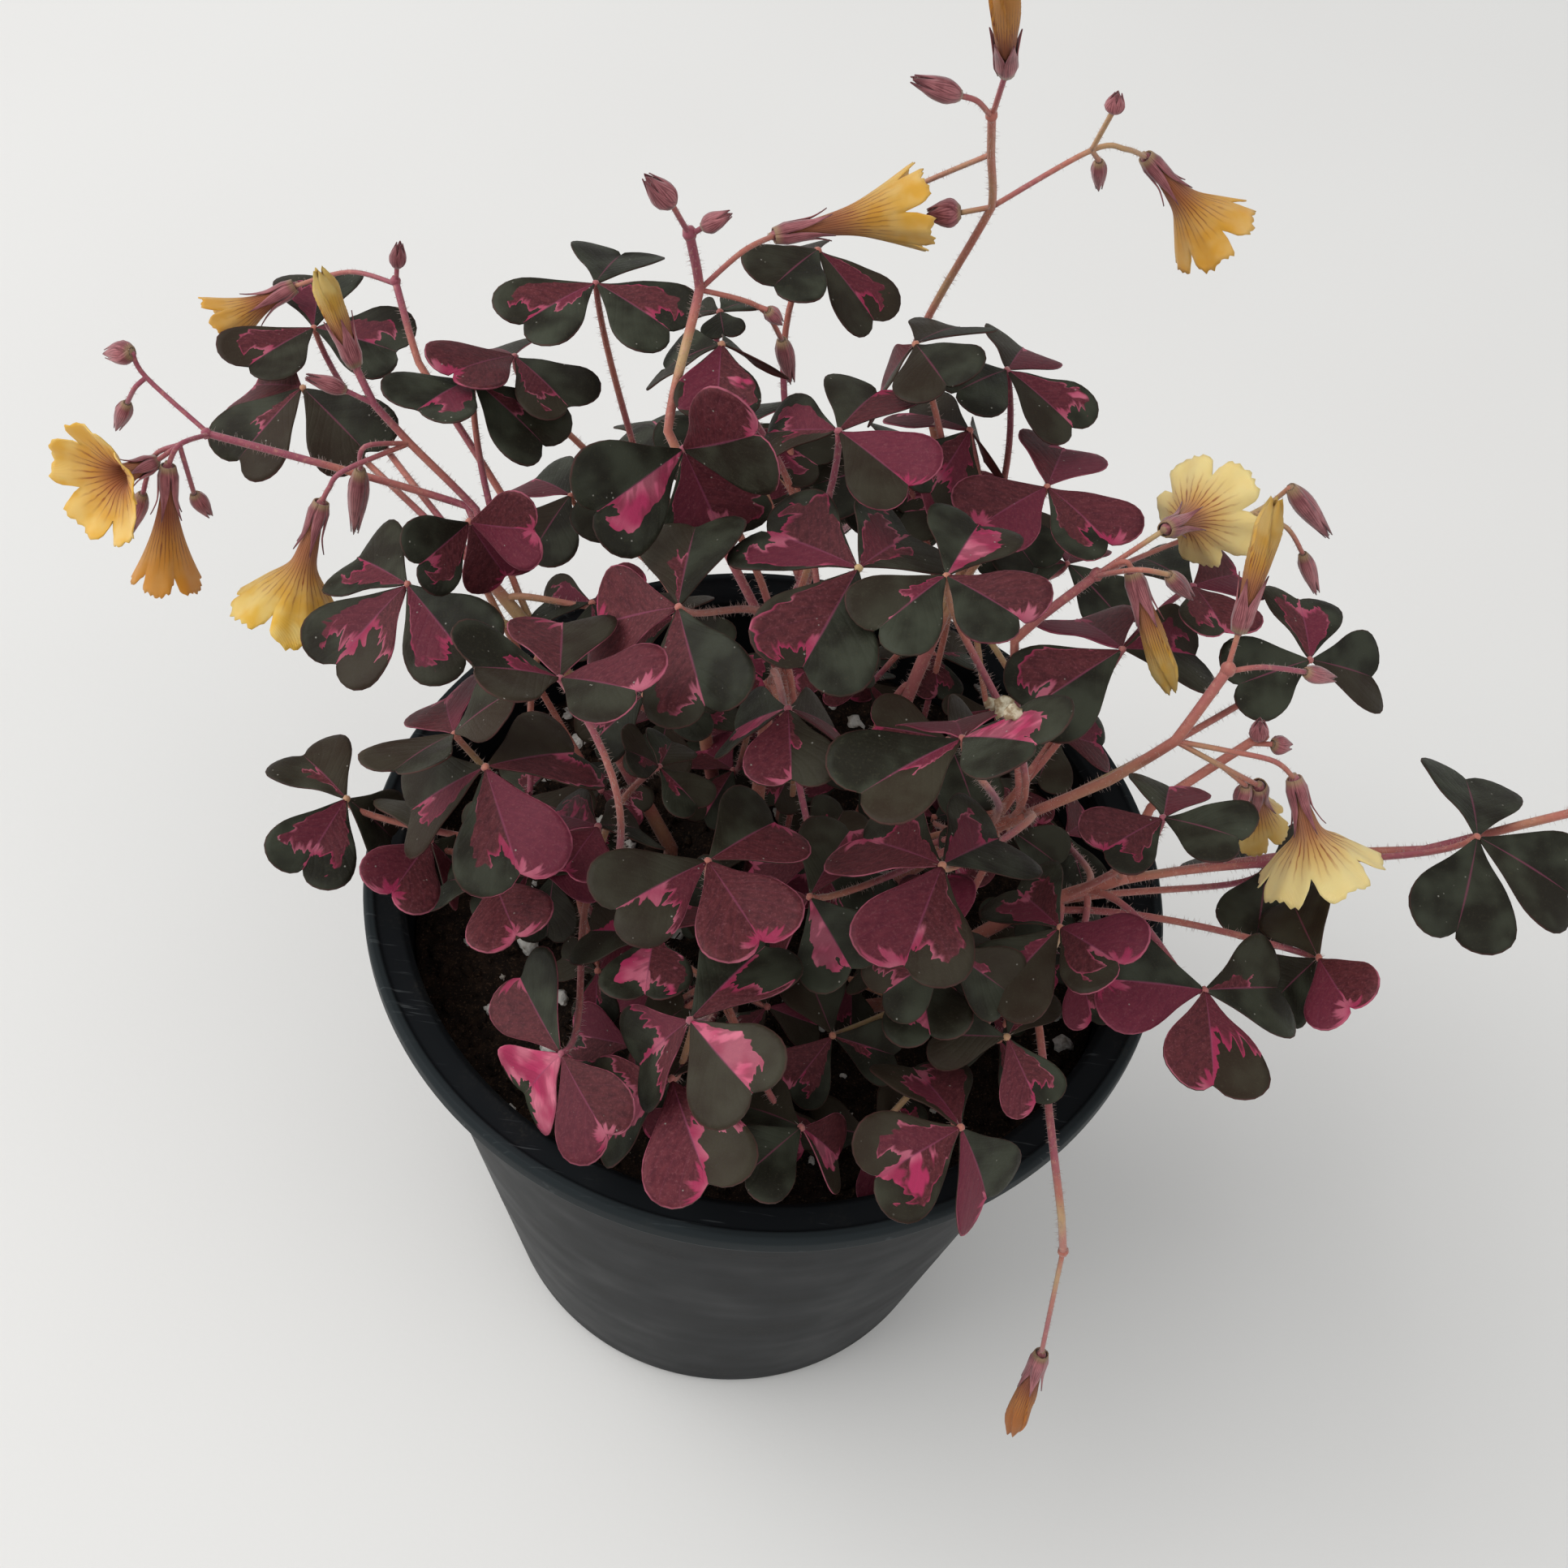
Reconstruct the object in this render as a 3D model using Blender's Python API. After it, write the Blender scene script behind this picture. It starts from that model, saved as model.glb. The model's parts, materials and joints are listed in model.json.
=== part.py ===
# A potted volcanic sorrel, a small house plant with dark three-part leaves and yellow flowers.
# Metres, +Z up. The origin is the middle of the pot's underside, and +Y points away from the viewer.

import itertools
import math
import random

import bmesh
import bpy
from mathutils import Matrix, Vector
from mathutils.bvhtree import BVHTree

# Driving dimensions of the pot
POT_HEIGHT = 0.115
RIM_RADIUS = 0.065
RIM_FLAT = 0.004
RIM_DEPTH = 0.0045
BASE_RADIUS = 0.0455
WALL = 0.0016
FLOOR = 0.002
DRAIN_HOLES = 5
DRAIN_RADIUS = 0.004
DRAIN_RING = 0.031
POT_SIDES = 38

# Driving dimensions of the soil
SOIL_TOP = 0.1
SOIL_BUMP = 0.0022
SOIL_SIDES = 24
SOIL_RINGS = ((1.0, 0.4), (0.78, 1.0), (0.5, 1.0), (0.22, 1.0))
SOIL_CLEAR = 0.0009
SOIL_SEED = 5
STEM_SUNK = 0.011
STEM_NECK = 0.004
HOLE_CLEAR = 0.00075
GAP = 0.0003

# Driving dimensions of the plant
STEM_RADIUS = 0.0011
STEM_SWELL = 1.15
STEM_TAPER = 0.8
STEM_BOW = 0.16
PETIOLE_RADIUS = 0.0006
KNOT = 0.0005
STALK_ROOT = 0.98
HUB_RADIUS = 0.00095
BLADE = 0.0007
SEPAL = 0.0006
SEPAL_LENGTH = 0.0056
SEPAL_SPREAD = 0.0034
CALYX_RADIUS = 0.0019
CALYX_CUP = 0.0014
THROAT_RADIUS = 0.0008
PETAL = 0.0007
CLEAR = 0.00025

# Where the plant was seen from: the pixels below are those of a square photograph 1932 pixels wide
SIGHT_CENTRE = 966
SIGHT_FOCAL = 2300
SIGHT_TARGET = Vector((0.0005, 0, 0.137))
SIGHT_DISTANCE = 0.286
SIGHT_ELEVATION = math.radians(53)
SIGHT_ROLL = math.radians(8)

# Leafy stems: foot on the soil (x, y), then the growing tip (x, y, height)
STEMS = {
    "leafy_stem_left": ((-0.017, 0.008), (-0.049, 0.020, 0.152)),
    "leafy_stem_back_left": ((-0.012, 0.024), (-0.028, 0.050, 0.142)),
    "leafy_stem_back": ((0.001, 0.022), (-0.002, 0.046, 0.152)),
    "leafy_stem_middle": ((-0.003, 0.003), (-0.004, 0.011, 0.158)),
    "leafy_stem_back_right": ((0.014, 0.018), (0.025, 0.042, 0.148)),
    "leafy_stem_right": ((0.018, 0.004), (0.037, -0.004, 0.143)),
    "leafy_stem_far_right": ((0.026, -0.010), (0.054, -0.007, 0.135)),
    "leafy_stem_front_right": ((0.014, -0.019), (0.036, -0.028, 0.123)),
    "leafy_stem_front": ((-0.003, -0.019), (-0.007, -0.031, 0.127)),
    "leafy_stem_front_left": ((-0.018, -0.008), (-0.035, -0.014, 0.130)),
}

# Leaves that the photograph shows. Each row: the hub's pixel and height, the leaflets' length,
# then the pixel at the middle of each of its three leaflets.
LEAVES = {
    "leafy_stem_left": (
        ((387, 404, 0.168), 0.0155, ((334, 428), (391, 356), (452, 418))),
        ((373, 478, 0.165), 0.0155, ((316, 533), (326, 470), (424, 527))),
        ((582, 468, 0.172), 0.0150, ((540, 484), (563, 470), (643, 516))),
        ((502, 720, 0.160), 0.0158, ((454, 691), (442, 785), (543, 778))),
        ((578, 643, 0.166), 0.0122, ((550, 676), (611, 694), (620, 655))),
    ),
    "leafy_stem_back_left": (
        ((634, 439, 0.164), 0.0140, ((612, 425), (597, 450), (668, 473))),
        ((734, 349, 0.184), 0.0150, ((676, 374), (756, 317), (794, 381))),
    ),
    "leafy_stem_back": (
        ((1008, 308, 0.186), 0.0140, ((1058, 362), (975, 330), (977, 300))),
        ((889, 424, 0.186), 0.0125, ((838, 440), (885, 475), (922, 437))),
        ((887, 384, 0.178), 0.0070, ((870, 380), (900, 374), (890, 400))),
    ),
    "leafy_stem_middle": (
        ((1033, 531, 0.190), 0.0145, ((970, 524), (1089, 569), (1062, 491))),
        ((842, 553, 0.189), 0.0165, ((778, 603), (890, 548), (878, 633))),
        ((836, 748, 0.181), 0.0158, ((763, 757), (854, 824), (845, 675))),
        ((1058, 700, 0.191), 0.0174, ((980, 660), (1014, 776), (1105, 662))),
        ((971, 873, 0.173), 0.0127, ((922, 887), (974, 925), (1015, 886))),
    ),
    "leafy_stem_back_right": (
        ((1128, 424, 0.182), 0.0140, ((1165, 402), (1090, 466), (1150, 450))),
        ((1241, 456, 0.178), 0.0140, ((1205, 467), (1258, 430), (1297, 497))),
        ((1195, 530, 0.172), 0.0130, ((1165, 578), (1150, 515), (1203, 548))),
        ((1290, 600, 0.174), 0.0147, ((1307, 560), (1245, 628), (1335, 640))),
    ),
    "leafy_stem_right": (
        ((1166, 710, 0.184), 0.0138, ((1122, 748), (1195, 660), (1215, 740))),
        ((998, 1105, 0.147), 0.0137, ((1030, 1045), (955, 1130), (1028, 1160))),
        ((1186, 910, 0.177), 0.0168, ((1104, 947), (1178, 884), (1236, 905))),
        ((1383, 800, 0.166), 0.0163, ((1310, 844), (1344, 765), (1451, 800))),
        ((1161, 1066, 0.160), 0.0170, ((1132, 1142), (1112, 1030), (1190, 1030))),
        ((1614, 813, 0.158), 0.0138, ((1608, 757), (1560, 830), (1672, 825))),
        ((1470, 722, 0.163), 0.0130, ((1437, 690), (1500, 702), (1497, 752))),
        ((1130, 1188, 0.138), 0.0130, ((1140, 1240), (1085, 1180), (1168, 1152))),
    ),
    "leafy_stem_far_right": (
        ((1433, 1008, 0.152), 0.0120, ((1387, 1030), (1490, 1018), (1440, 975))),
        ((1560, 1070, 0.130), 0.0140, ((1555, 1118), (1610, 1060), (1510, 1050))),
        ((1625, 1180, 0.134), 0.0125, ((1600, 1130), (1645, 1215), (1585, 1215))),
        ((1484, 1220, 0.141), 0.0162, ((1410, 1212), (1492, 1290), (1553, 1215))),
        ((1820, 1031, 0.145), 0.0170, ((1815, 975), (1808, 1105), (1902, 1075))),
    ),
    "leafy_stem_front_right": (
        ((1306, 1143, 0.147), 0.0142, ((1252, 1197), (1348, 1165), (1266, 1105))),
        ((1184, 1389, 0.133), 0.0157, ((1121, 1427), (1214, 1454), (1145, 1330))),
    ),
    "leafy_stem_front": (
        ((872, 1061, 0.160), 0.0150, ((932, 1022), (803, 1098), (908, 1120))),
        ((850, 1257, 0.147), 0.0154, ((911, 1191), (798, 1296), (895, 1312))),
        ((827, 1329, 0.133), 0.0165, ((767, 1356), (855, 1412), (850, 1296))),
        ((987, 1389, 0.127), 0.0120, ((938, 1366), (945, 1424), (1025, 1415))),
        ((807, 1151, 0.141), 0.0133, ((751, 1142), (798, 1192), (835, 1120))),
    ),
    "leafy_stem_front_left": (
        ((690, 836, 0.172), 0.0150, ((628, 820), (745, 838), (692, 780))),
        ((598, 945, 0.157), 0.0170, ((525, 980), (678, 925), (624, 1030))),
        ((560, 905, 0.146), 0.0140, ((548, 868), (512, 925), (595, 870))),
        ((427, 984, 0.136), 0.0138, ((389, 942), (392, 1038), (473, 1018))),
        ((530, 1035, 0.134), 0.0125, ((502, 1073), (560, 1060), (520, 1002))),
        ((608, 1082, 0.134), 0.0132, ((623, 1122), (568, 1078), (650, 1058))),
        ((737, 1018, 0.146), 0.0116, ((697, 1003), (712, 1048), (775, 1015))),
        ((812, 945, 0.150), 0.0086, ((790, 930), (843, 973), (825, 920))),
        ((692, 1298, 0.131), 0.0147, ((651, 1235), (652, 1335), (722, 1363))),
    ),
}

# Leaves on the far side, which the photograph doesn't show: how many, and the ring that holds them
BACK_LEAVES = 11
BACK_STEMS = ("leafy_stem_back_left", "leafy_stem_back", "leafy_stem_back_right")
BACK_SPREAD = (math.radians(52), math.radians(128))
BACK_RADIUS = (0.058, 0.080)
BACK_HEIGHT = (0.126, 0.150)
BACK_LENGTH = 0.0155
BACK_SEED = 11

# Flower stalks: the stem that each springs from, its radius, then a pixel and a height for each point
STALKS = (
    ("leafy_stem_back_right", 0.0006,
     ((1128, 424, 0.174), (1222, 255, 0.203), (1221, 190, 0.214), (1222, 145, 0.222))),
    ("leafy_stem_middle", 0.0007, ((823, 531, 0.182), (862, 357, 0.196), (850, 290, 0.206))),
    ("leafy_stem_left", 0.0006,
     ((587, 628, 0.157), (505, 546, 0.165), (461, 498, 0.170), (439, 454, 0.174))),
    ("leafy_stem_left", 0.0006, ((576, 624, 0.155), (413, 576, 0.158), (258, 535, 0.161))),
    ("leafy_stem_left", 0.0006, ((631, 631, 0.150), (516, 447, 0.162), (488, 350, 0.170))),
    ("leafy_stem_right", 0.0007, ((1250, 790, 0.161), (1348, 710, 0.172))),
    ("leafy_stem_right", 0.0008, ((1366, 962, 0.152), (1448, 913, 0.162), (1511, 828, 0.171))),
    ("leafy_stem_far_right", 0.0007, ((1418, 995, 0.150), (1551, 908, 0.158))),
    ("leafy_stem_far_right", 0.0007,
     ((1600, 1052, 0.128), (1755, 1047, 0.136), (1880, 1015, 0.141), (1975, 992, 0.145))),
    ("leafy_stem_front_right", 0.0006,
     ((1275, 1235, 0.128), (1288, 1330, 0.124), (1299, 1425, 0.120), (1308, 1500, 0.110),
      (1310, 1540, 0.100))),
)

# Buds: the stem they grow on, greatest radius, then a pixel and a height for each point of the pedicel,
# the first one on a stalk and the last one at the bud's tip
BUDS = (
    ("leafy_stem_back_right", 0.0017,
     ((1222, 145, 0.222), (1205, 125, 0.226), (1182, 118, 0.227), (1125, 98, 0.231))),
    ("leafy_stem_back_right", 0.0016,
     ((1221, 190, 0.214), (1127, 230, 0.199), (1098, 250, 0.194), (1060, 262, 0.188))),
    ("leafy_stem_back_right", 0.0023, ((1222, 255, 0.203), (1184, 262, 0.201), (1142, 264, 0.200))),
    ("leafy_stem_back_right", 0.0015, ((1345, 185, 0.210), (1371, 138, 0.218), (1378, 115, 0.221))),
    ("leafy_stem_back_right", 0.0012, ((1345, 185, 0.210), (1354, 198, 0.207), (1354, 232, 0.201))),
    ("leafy_stem_middle", 0.0020, ((850, 290, 0.206), (828, 252, 0.213), (796, 218, 0.218))),
    ("leafy_stem_middle", 0.0014, ((850, 290, 0.206), (866, 280, 0.208), (900, 263, 0.211))),
    ("leafy_stem_middle", 0.0015,
     ((862, 357, 0.196), (935, 378, 0.193), (963, 418, 0.185), (975, 470, 0.176))),
    ("leafy_stem_middle", 0.0012, ((935, 378, 0.193), (946, 382, 0.193), (962, 398, 0.190))),
    ("leafy_stem_left", 0.0013, ((461, 498, 0.170), (426, 481, 0.172), (377, 464, 0.175))),
    ("leafy_stem_left", 0.0018,
     ((505, 546, 0.165), (450, 550, 0.167), (444, 578, 0.162), (437, 655, 0.148))),
    ("leafy_stem_left", 0.0020,
     ((258, 535, 0.161), (180, 465, 0.166), (163, 434, 0.170), (130, 436, 0.168))),
    ("leafy_stem_left", 0.0014,
     ((180, 465, 0.166), (166, 478, 0.165), (157, 496, 0.161), (144, 528, 0.155))),
    ("leafy_stem_left", 0.0014, ((221, 548, 0.164), (239, 608, 0.152), (259, 635, 0.147))),
    ("leafy_stem_left", 0.0015,
     ((221, 548, 0.164), (190, 562, 0.160), (176, 608, 0.153), (161, 654, 0.145))),
    ("leafy_stem_left", 0.0014, ((488, 350, 0.170), (489, 328, 0.173), (492, 300, 0.178))),
    ("leafy_stem_right", 0.0014,
     ((1348, 710, 0.172), (1400, 702, 0.179), (1440, 708, 0.178), (1468, 736, 0.172))),
    ("leafy_stem_right", 0.0019,
     ((1348, 710, 0.172), (1440, 672, 0.164), (1544, 632, 0.163), (1590, 600, 0.168), (1637, 660, 0.158))),
    ("leafy_stem_right", 0.0014,
     ((1544, 632, 0.163), (1585, 650, 0.162), (1605, 682, 0.157), (1622, 730, 0.149))),
    ("leafy_stem_right", 0.0013,
     ((1511, 828, 0.171), (1555, 822, 0.172), (1608, 828, 0.170), (1644, 836, 0.167))),
    ("leafy_stem_right", 0.0014, ((1507, 945, 0.158), (1535, 968, 0.153), (1524, 1000, 0.147))),
    ("leafy_stem_far_right", 0.0015, ((1540, 916, 0.157), (1550, 910, 0.158), (1553, 888, 0.162))),
    ("leafy_stem_far_right", 0.0015, ((1540, 916, 0.157), (1568, 917, 0.158), (1590, 919, 0.157))),
)

# Flowers: name, the stem that each grows on, greatest radius of its mouth (0 while it is rolled up),
# a pixel and a height for each point of its pedicel, then for the middle of its mouth
FLOWERS = (
    ("corolla_top", "leafy_stem_back_right", 0,
     ((1222, 145, 0.222), (1240, 88, 0.231)), (1238, -35, 0.249)),
    ("corolla_back_right", "leafy_stem_back_right", 0.0070,
     ((1222, 255, 0.203), (1345, 185, 0.210), (1388, 184, 0.210), (1412, 194, 0.206)), (1495, 290, 0.194)),
    ("corolla_back", "leafy_stem_middle", 0.0062,
     ((862, 357, 0.196), (915, 310, 0.202), (955, 290, 0.201)), (1130, 256, 0.203)),
    ("corolla_rolled_left", "leafy_stem_left", 0,
     ((461, 498, 0.170), (437, 448, 0.175)), (395, 337, 0.189)),
    ("corolla_left", "leafy_stem_left", 0.0090,
     ((505, 546, 0.165), (424, 580, 0.165), (405, 602, 0.162), (396, 620, 0.159)), (356, 758, 0.141)),
    ("corolla_behind_left", "leafy_stem_left", 0.0056,
     ((488, 350, 0.170), (430, 335, 0.168), (362, 353, 0.161)), (273, 402, 0.156)),
    ("corolla_far_left", "leafy_stem_left", 0.0094,
     ((221, 548, 0.164), (190, 570, 0.160)), (118, 598, 0.163)),
    ("corolla_far_left_low", "leafy_stem_left", 0.0054,
     ((258, 535, 0.161), (221, 548, 0.164), (207, 575, 0.160)), (206, 714, 0.142)),
    ("corolla_right_high", "leafy_stem_right", 0.0085,
     ((1348, 710, 0.172), (1436, 652, 0.178)), (1490, 630, 0.172)),
    ("corolla_rolled_right", "leafy_stem_right", 0,
     ((1511, 828, 0.171), (1527, 776, 0.176)), (1571, 620, 0.193)),
    ("corolla_rolled_right_low", "leafy_stem_right", 0,
     ((1348, 710, 0.172), (1385, 692, 0.177), (1396, 706, 0.175)), (1442, 848, 0.161)),
    ("corolla_right", "leafy_stem_right", 0.0092,
     ((1448, 913, 0.162), (1507, 924, 0.161), (1570, 938, 0.160), (1595, 960, 0.156)), (1625, 1075, 0.144)),
    ("corolla_behind_right", "leafy_stem_right", 0.0052,
     ((1448, 913, 0.162), (1507, 945, 0.158), (1551, 968, 0.152)), (1545, 1015, 0.138)),
    ("corolla_hanging", "leafy_stem_front_right", 0,
     ((1310, 1540, 0.100), (1283, 1668, 0.072)), (1247, 1762, 0.053)),
)

# A leaf's petiole leaves its stem at one of these shares of the way up, bowed sideways by one of these
PETIOLE_ROOTS = (1.0, 0.93, 0.86, 0.79, 0.72, 0.65)
PETIOLE_BOWS = (0.0, 0.12, -0.12, 0.24, -0.24)
PETIOLE_STEPS = 3
PETIOLE_RISE = 0.3
PETIOLE_LEAN = 0.1
PETIOLE_ARRIVAL = 0.25

# A leaf slides along its line by the first of these numbers of steps that leaves it clear
LEAF_SHIFTS = (0, 1, -1, 2, -2, 3, -3, 4, -4, 5, -5, 6, -6, 7, -7, 8, -8, 10, -10, 12, -12)
LEAF_SHIFT = 0.0015

# One half of a leaflet's edge, from hub to notch, for a leaflet of length 1: (along, across)
HALF_LEAFLET = ((0.64, 0.47), (0.95, 0.47), (1.08, 0.22))
NOTCH = 0.96
LEAST_SPREAD = math.radians(79)
MIDRIB_MIDDLE = 0.55
MIDDLE_SEEN = 0.65
DROOP = -0.15
DROOP_WEIGHT = 0.35
EDGE_ON_WEIGHT = 0.6
FOLD = 0.16
ARCH = 0.12
HUB_THICK = 0.6
GUARD_GROWTH = 1.03

# How much a leaf faces up, towards the light and outwards, and how much of that its own tilt takes on
FACING = (0.3, 0.9, 0.15)
FACING_SHARE = 1.2
BACK_TILT = 0.25
BACK_TURN = 0.5
BACK_SCATTER = (0.003, 0.004)

# Corollas: each ring's share of the length, then its radius, and how deep its five clefts go
OPEN_MIDDLE = (0.50, 0.0021)
OPEN_BELL = (0.86, 0.10, 0.50)
WIDEST_MOUTH = 0.0095
CLEFTS = (1.0, 1.0, 0.94, 0.74)
CLEFT_TURN = (0, -0.3, 0.3)
ROLLED_SHARES = (0, 0.45, 0.8, 1.0)
ROLLED_RADII = (THROAT_RADIUS, 0.0018, 0.0020, 0.0011)

COLOURS = {
    "pot": ((0.012, 0.014, 0.016), 0.38),
    "soil": ((0.020, 0.013, 0.009), 0.95),
    "foliage": ((0.060, 0.028, 0.034), 0.62),
    "petal": ((0.78, 0.47, 0.10), 0.55),
}


def sight_axes():
    """The directions that lie right, up and backwards in the photograph."""
    back = Vector((0, -math.cos(SIGHT_ELEVATION), math.sin(SIGHT_ELEVATION)))
    up = Vector((0, math.sin(SIGHT_ELEVATION), math.cos(SIGHT_ELEVATION)))
    return Vector((1, 0, 0)), up, back


def seen_at(pixel_x, pixel_y, height):
    """The place at this height that the photograph shows at this pixel."""
    right, up, back = sight_axes()
    eye = SIGHT_TARGET + back * SIGHT_DISTANCE
    across = pixel_x - SIGHT_CENTRE
    above = SIGHT_CENTRE - pixel_y
    u = math.cos(SIGHT_ROLL) * across - math.sin(SIGHT_ROLL) * above
    v = math.sin(SIGHT_ROLL) * across + math.cos(SIGHT_ROLL) * above
    ray = right * u + up * v - back * SIGHT_FOCAL
    return eye + ray * ((height - eye.z) / ray.z)


def material(slot):
    colour, roughness = COLOURS[slot]
    made = bpy.data.materials.get(slot) or bpy.data.materials.new(slot)
    made.use_nodes = True
    shader = made.node_tree.nodes["Principled BSDF"]
    shader.inputs["Base Color"].default_value = (*colour, 1)
    shader.inputs["Roughness"].default_value = roughness
    shader.inputs["Metallic"].default_value = 0
    return made


def make_object(name, shape, slot, collection=None):
    points, faces = shape
    mesh = bpy.data.meshes.new(name)
    mesh.from_pydata([tuple(point) for point in points], [], faces)
    mesh.materials.append(material(slot))
    made = bpy.data.objects.new(name, mesh)
    (collection or bpy.context.scene.collection).objects.link(made)
    return made


def loft(rings, end_cap=True, inside_from=None):
    """Points and triangles of the skin over rings that have the same number of points.

    From the level inside_from on, the squares are split the other way, so that both sides of a thin
    wall are split alike.
    """
    sides = len(rings[0])
    points = [point for ring in rings for point in ring]
    faces = []
    for level in range(len(rings) - 1):
        for side in range(sides):
            a = level * sides + side
            b = level * sides + (side + 1) % sides
            if inside_from is not None and level >= inside_from:
                faces += [(a, b, a + sides), (b, b + sides, a + sides)]
            else:
                faces += [(a, b, b + sides), (a, b + sides, a + sides)]
    last = (len(rings) - 1) * sides
    for side in range(1, sides - 1):
        faces.append((0, side + 1, side))
        if end_cap:
            faces.append((last, last + side, last + side + 1))
    return points, faces


def frame_along(direction):
    """Two directions at right angles to this one and to each other."""
    guide = Vector((0, 0, 1)) if abs(direction.z) < 0.9 else Vector((1, 0, 0))
    first = guide.cross(direction).normalized()
    return first, direction.cross(first)


def tube_rings(path, radii, sides, first=None):
    """Rings of points along a path, with one radius for each of the path's points."""
    rings = []
    direction = (path[1] - path[0]).normalized()
    first = first or frame_along(direction)[0]
    for i, point in enumerate(path):
        ahead = path[min(i + 1, len(path) - 1)]
        behind = path[max(i - 1, 0)]
        turned = (ahead - behind).normalized()
        first = (first - turned * first.dot(turned)).normalized()
        second = turned.cross(first)
        ring = []
        for side in range(sides):
            angle = math.tau * side / sides
            ring.append(point + (first * math.cos(angle) + second * math.sin(angle)) * radii[i])
        rings.append(ring)
    return rings


def tube(path, radii, sides):
    return loft(tube_rings(path, radii, sides))


def smooth_path(corners, steps):
    """Points on a smooth curve through the corners, with this many steps between two of them."""
    path = [corners[0]]
    for i in range(len(corners) - 1):
        before = corners[max(i - 1, 0)]
        after = corners[min(i + 2, len(corners) - 1)]
        start, end = corners[i], corners[i + 1]
        leaving = (end - before) / 2
        arriving = (after - start) / 2
        for step in range(1, steps + 1):
            t = step / steps
            path.append(
                start * (2 * t**3 - 3 * t**2 + 1)
                + leaving * (t**3 - 2 * t**2 + t)
                + end * (3 * t**2 - 2 * t**3)
                + arriving * (t**3 - t**2)
            )
    return path


def stem_path(name):
    """From the bottom of its hole, straight up through the soil, then leaning to the growing tip."""
    (foot_x, foot_y), tip = STEMS[name]
    foot = Vector((foot_x, foot_y, SOIL_TOP))
    tip = Vector(tip)
    neck = foot + Vector((0, 0, STEM_NECK))
    middle = neck.lerp(tip, 0.5)
    middle.z += STEM_BOW * (tip.xy - foot.xy).length
    return [foot - Vector((0, 0, STEM_SUNK))] + smooth_path([neck, middle, tip], 2)


def along_path(path, share):
    """The place and the direction at this share of a path's length."""
    lengths = [(b - a).length for a, b in zip(path, path[1:])]
    left = share * sum(lengths)
    for (a, b), length in zip(zip(path, path[1:]), lengths):
        if left <= length:
            break
        left -= length
    direction = (b - a).normalized()
    return a + direction * min(left, length), direction


def leaflet_choices(hub, middle, length):
    """Both directions, near and far, in which a leaflet would show its middle at this pixel."""
    back = sight_axes()[2]
    seen = seen_at(*middle, hub.z) - hub
    ray = (SIGHT_TARGET + back * SIGHT_DISTANCE - hub).normalized()
    flat = seen - ray * seen.dot(ray)
    reach = max(length * MIDDLE_SEEN, flat.length * 1.02)
    depth = math.sqrt(reach**2 - flat.length**2)
    return ((flat + ray * depth).normalized(), (flat - ray * depth).normalized()), reach / MIDDLE_SEEN


def strain(leaf, wanted):
    """How far a leaf is from what was wanted: leaflets as seen, a little drooping, and not edge-on."""
    ray = (SIGHT_TARGET + sight_axes()[2] * SIGHT_DISTANCE - leaf["hub"]).normalized()
    cost = 0
    for axis, seen in zip(leaf["axes"], wanted):
        normal = (leaf["facing"] - axis * leaf["facing"].dot(axis)).normalized()
        cost += axis.angle(seen)
        cost += DROOP_WEIGHT * abs(axis.z - DROOP)
        cost += EDGE_ON_WEIGHT * (1 - normal.dot(ray))
    return cost


def leaf_facing(hub):
    """The way that a leaf at this place looks: up, towards the light and a little outwards."""
    upwards, lit, outwards = FACING
    back = sight_axes()[2]
    outward = Vector((hub.x, hub.y, 0)).normalized()
    return (Vector((0, 0, upwards)) + back * lit + outward * outwards).normalized()


def spread_apart(axes):
    """Turns the leaflets of one leaf away from each other where they would cross."""
    axes = list(axes)
    for _ in range(12):
        for i, j in ((0, 1), (1, 2), (2, 0)):
            lacking = LEAST_SPREAD - axes[i].angle(axes[j])
            if lacking > 0:
                pivot = axes[i].cross(axes[j]).normalized()
                axes[i] = Matrix.Rotation(-lacking / 2, 3, pivot) @ axes[i]
                axes[j] = Matrix.Rotation(lacking / 2, 3, pivot) @ axes[j]
    return axes


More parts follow.
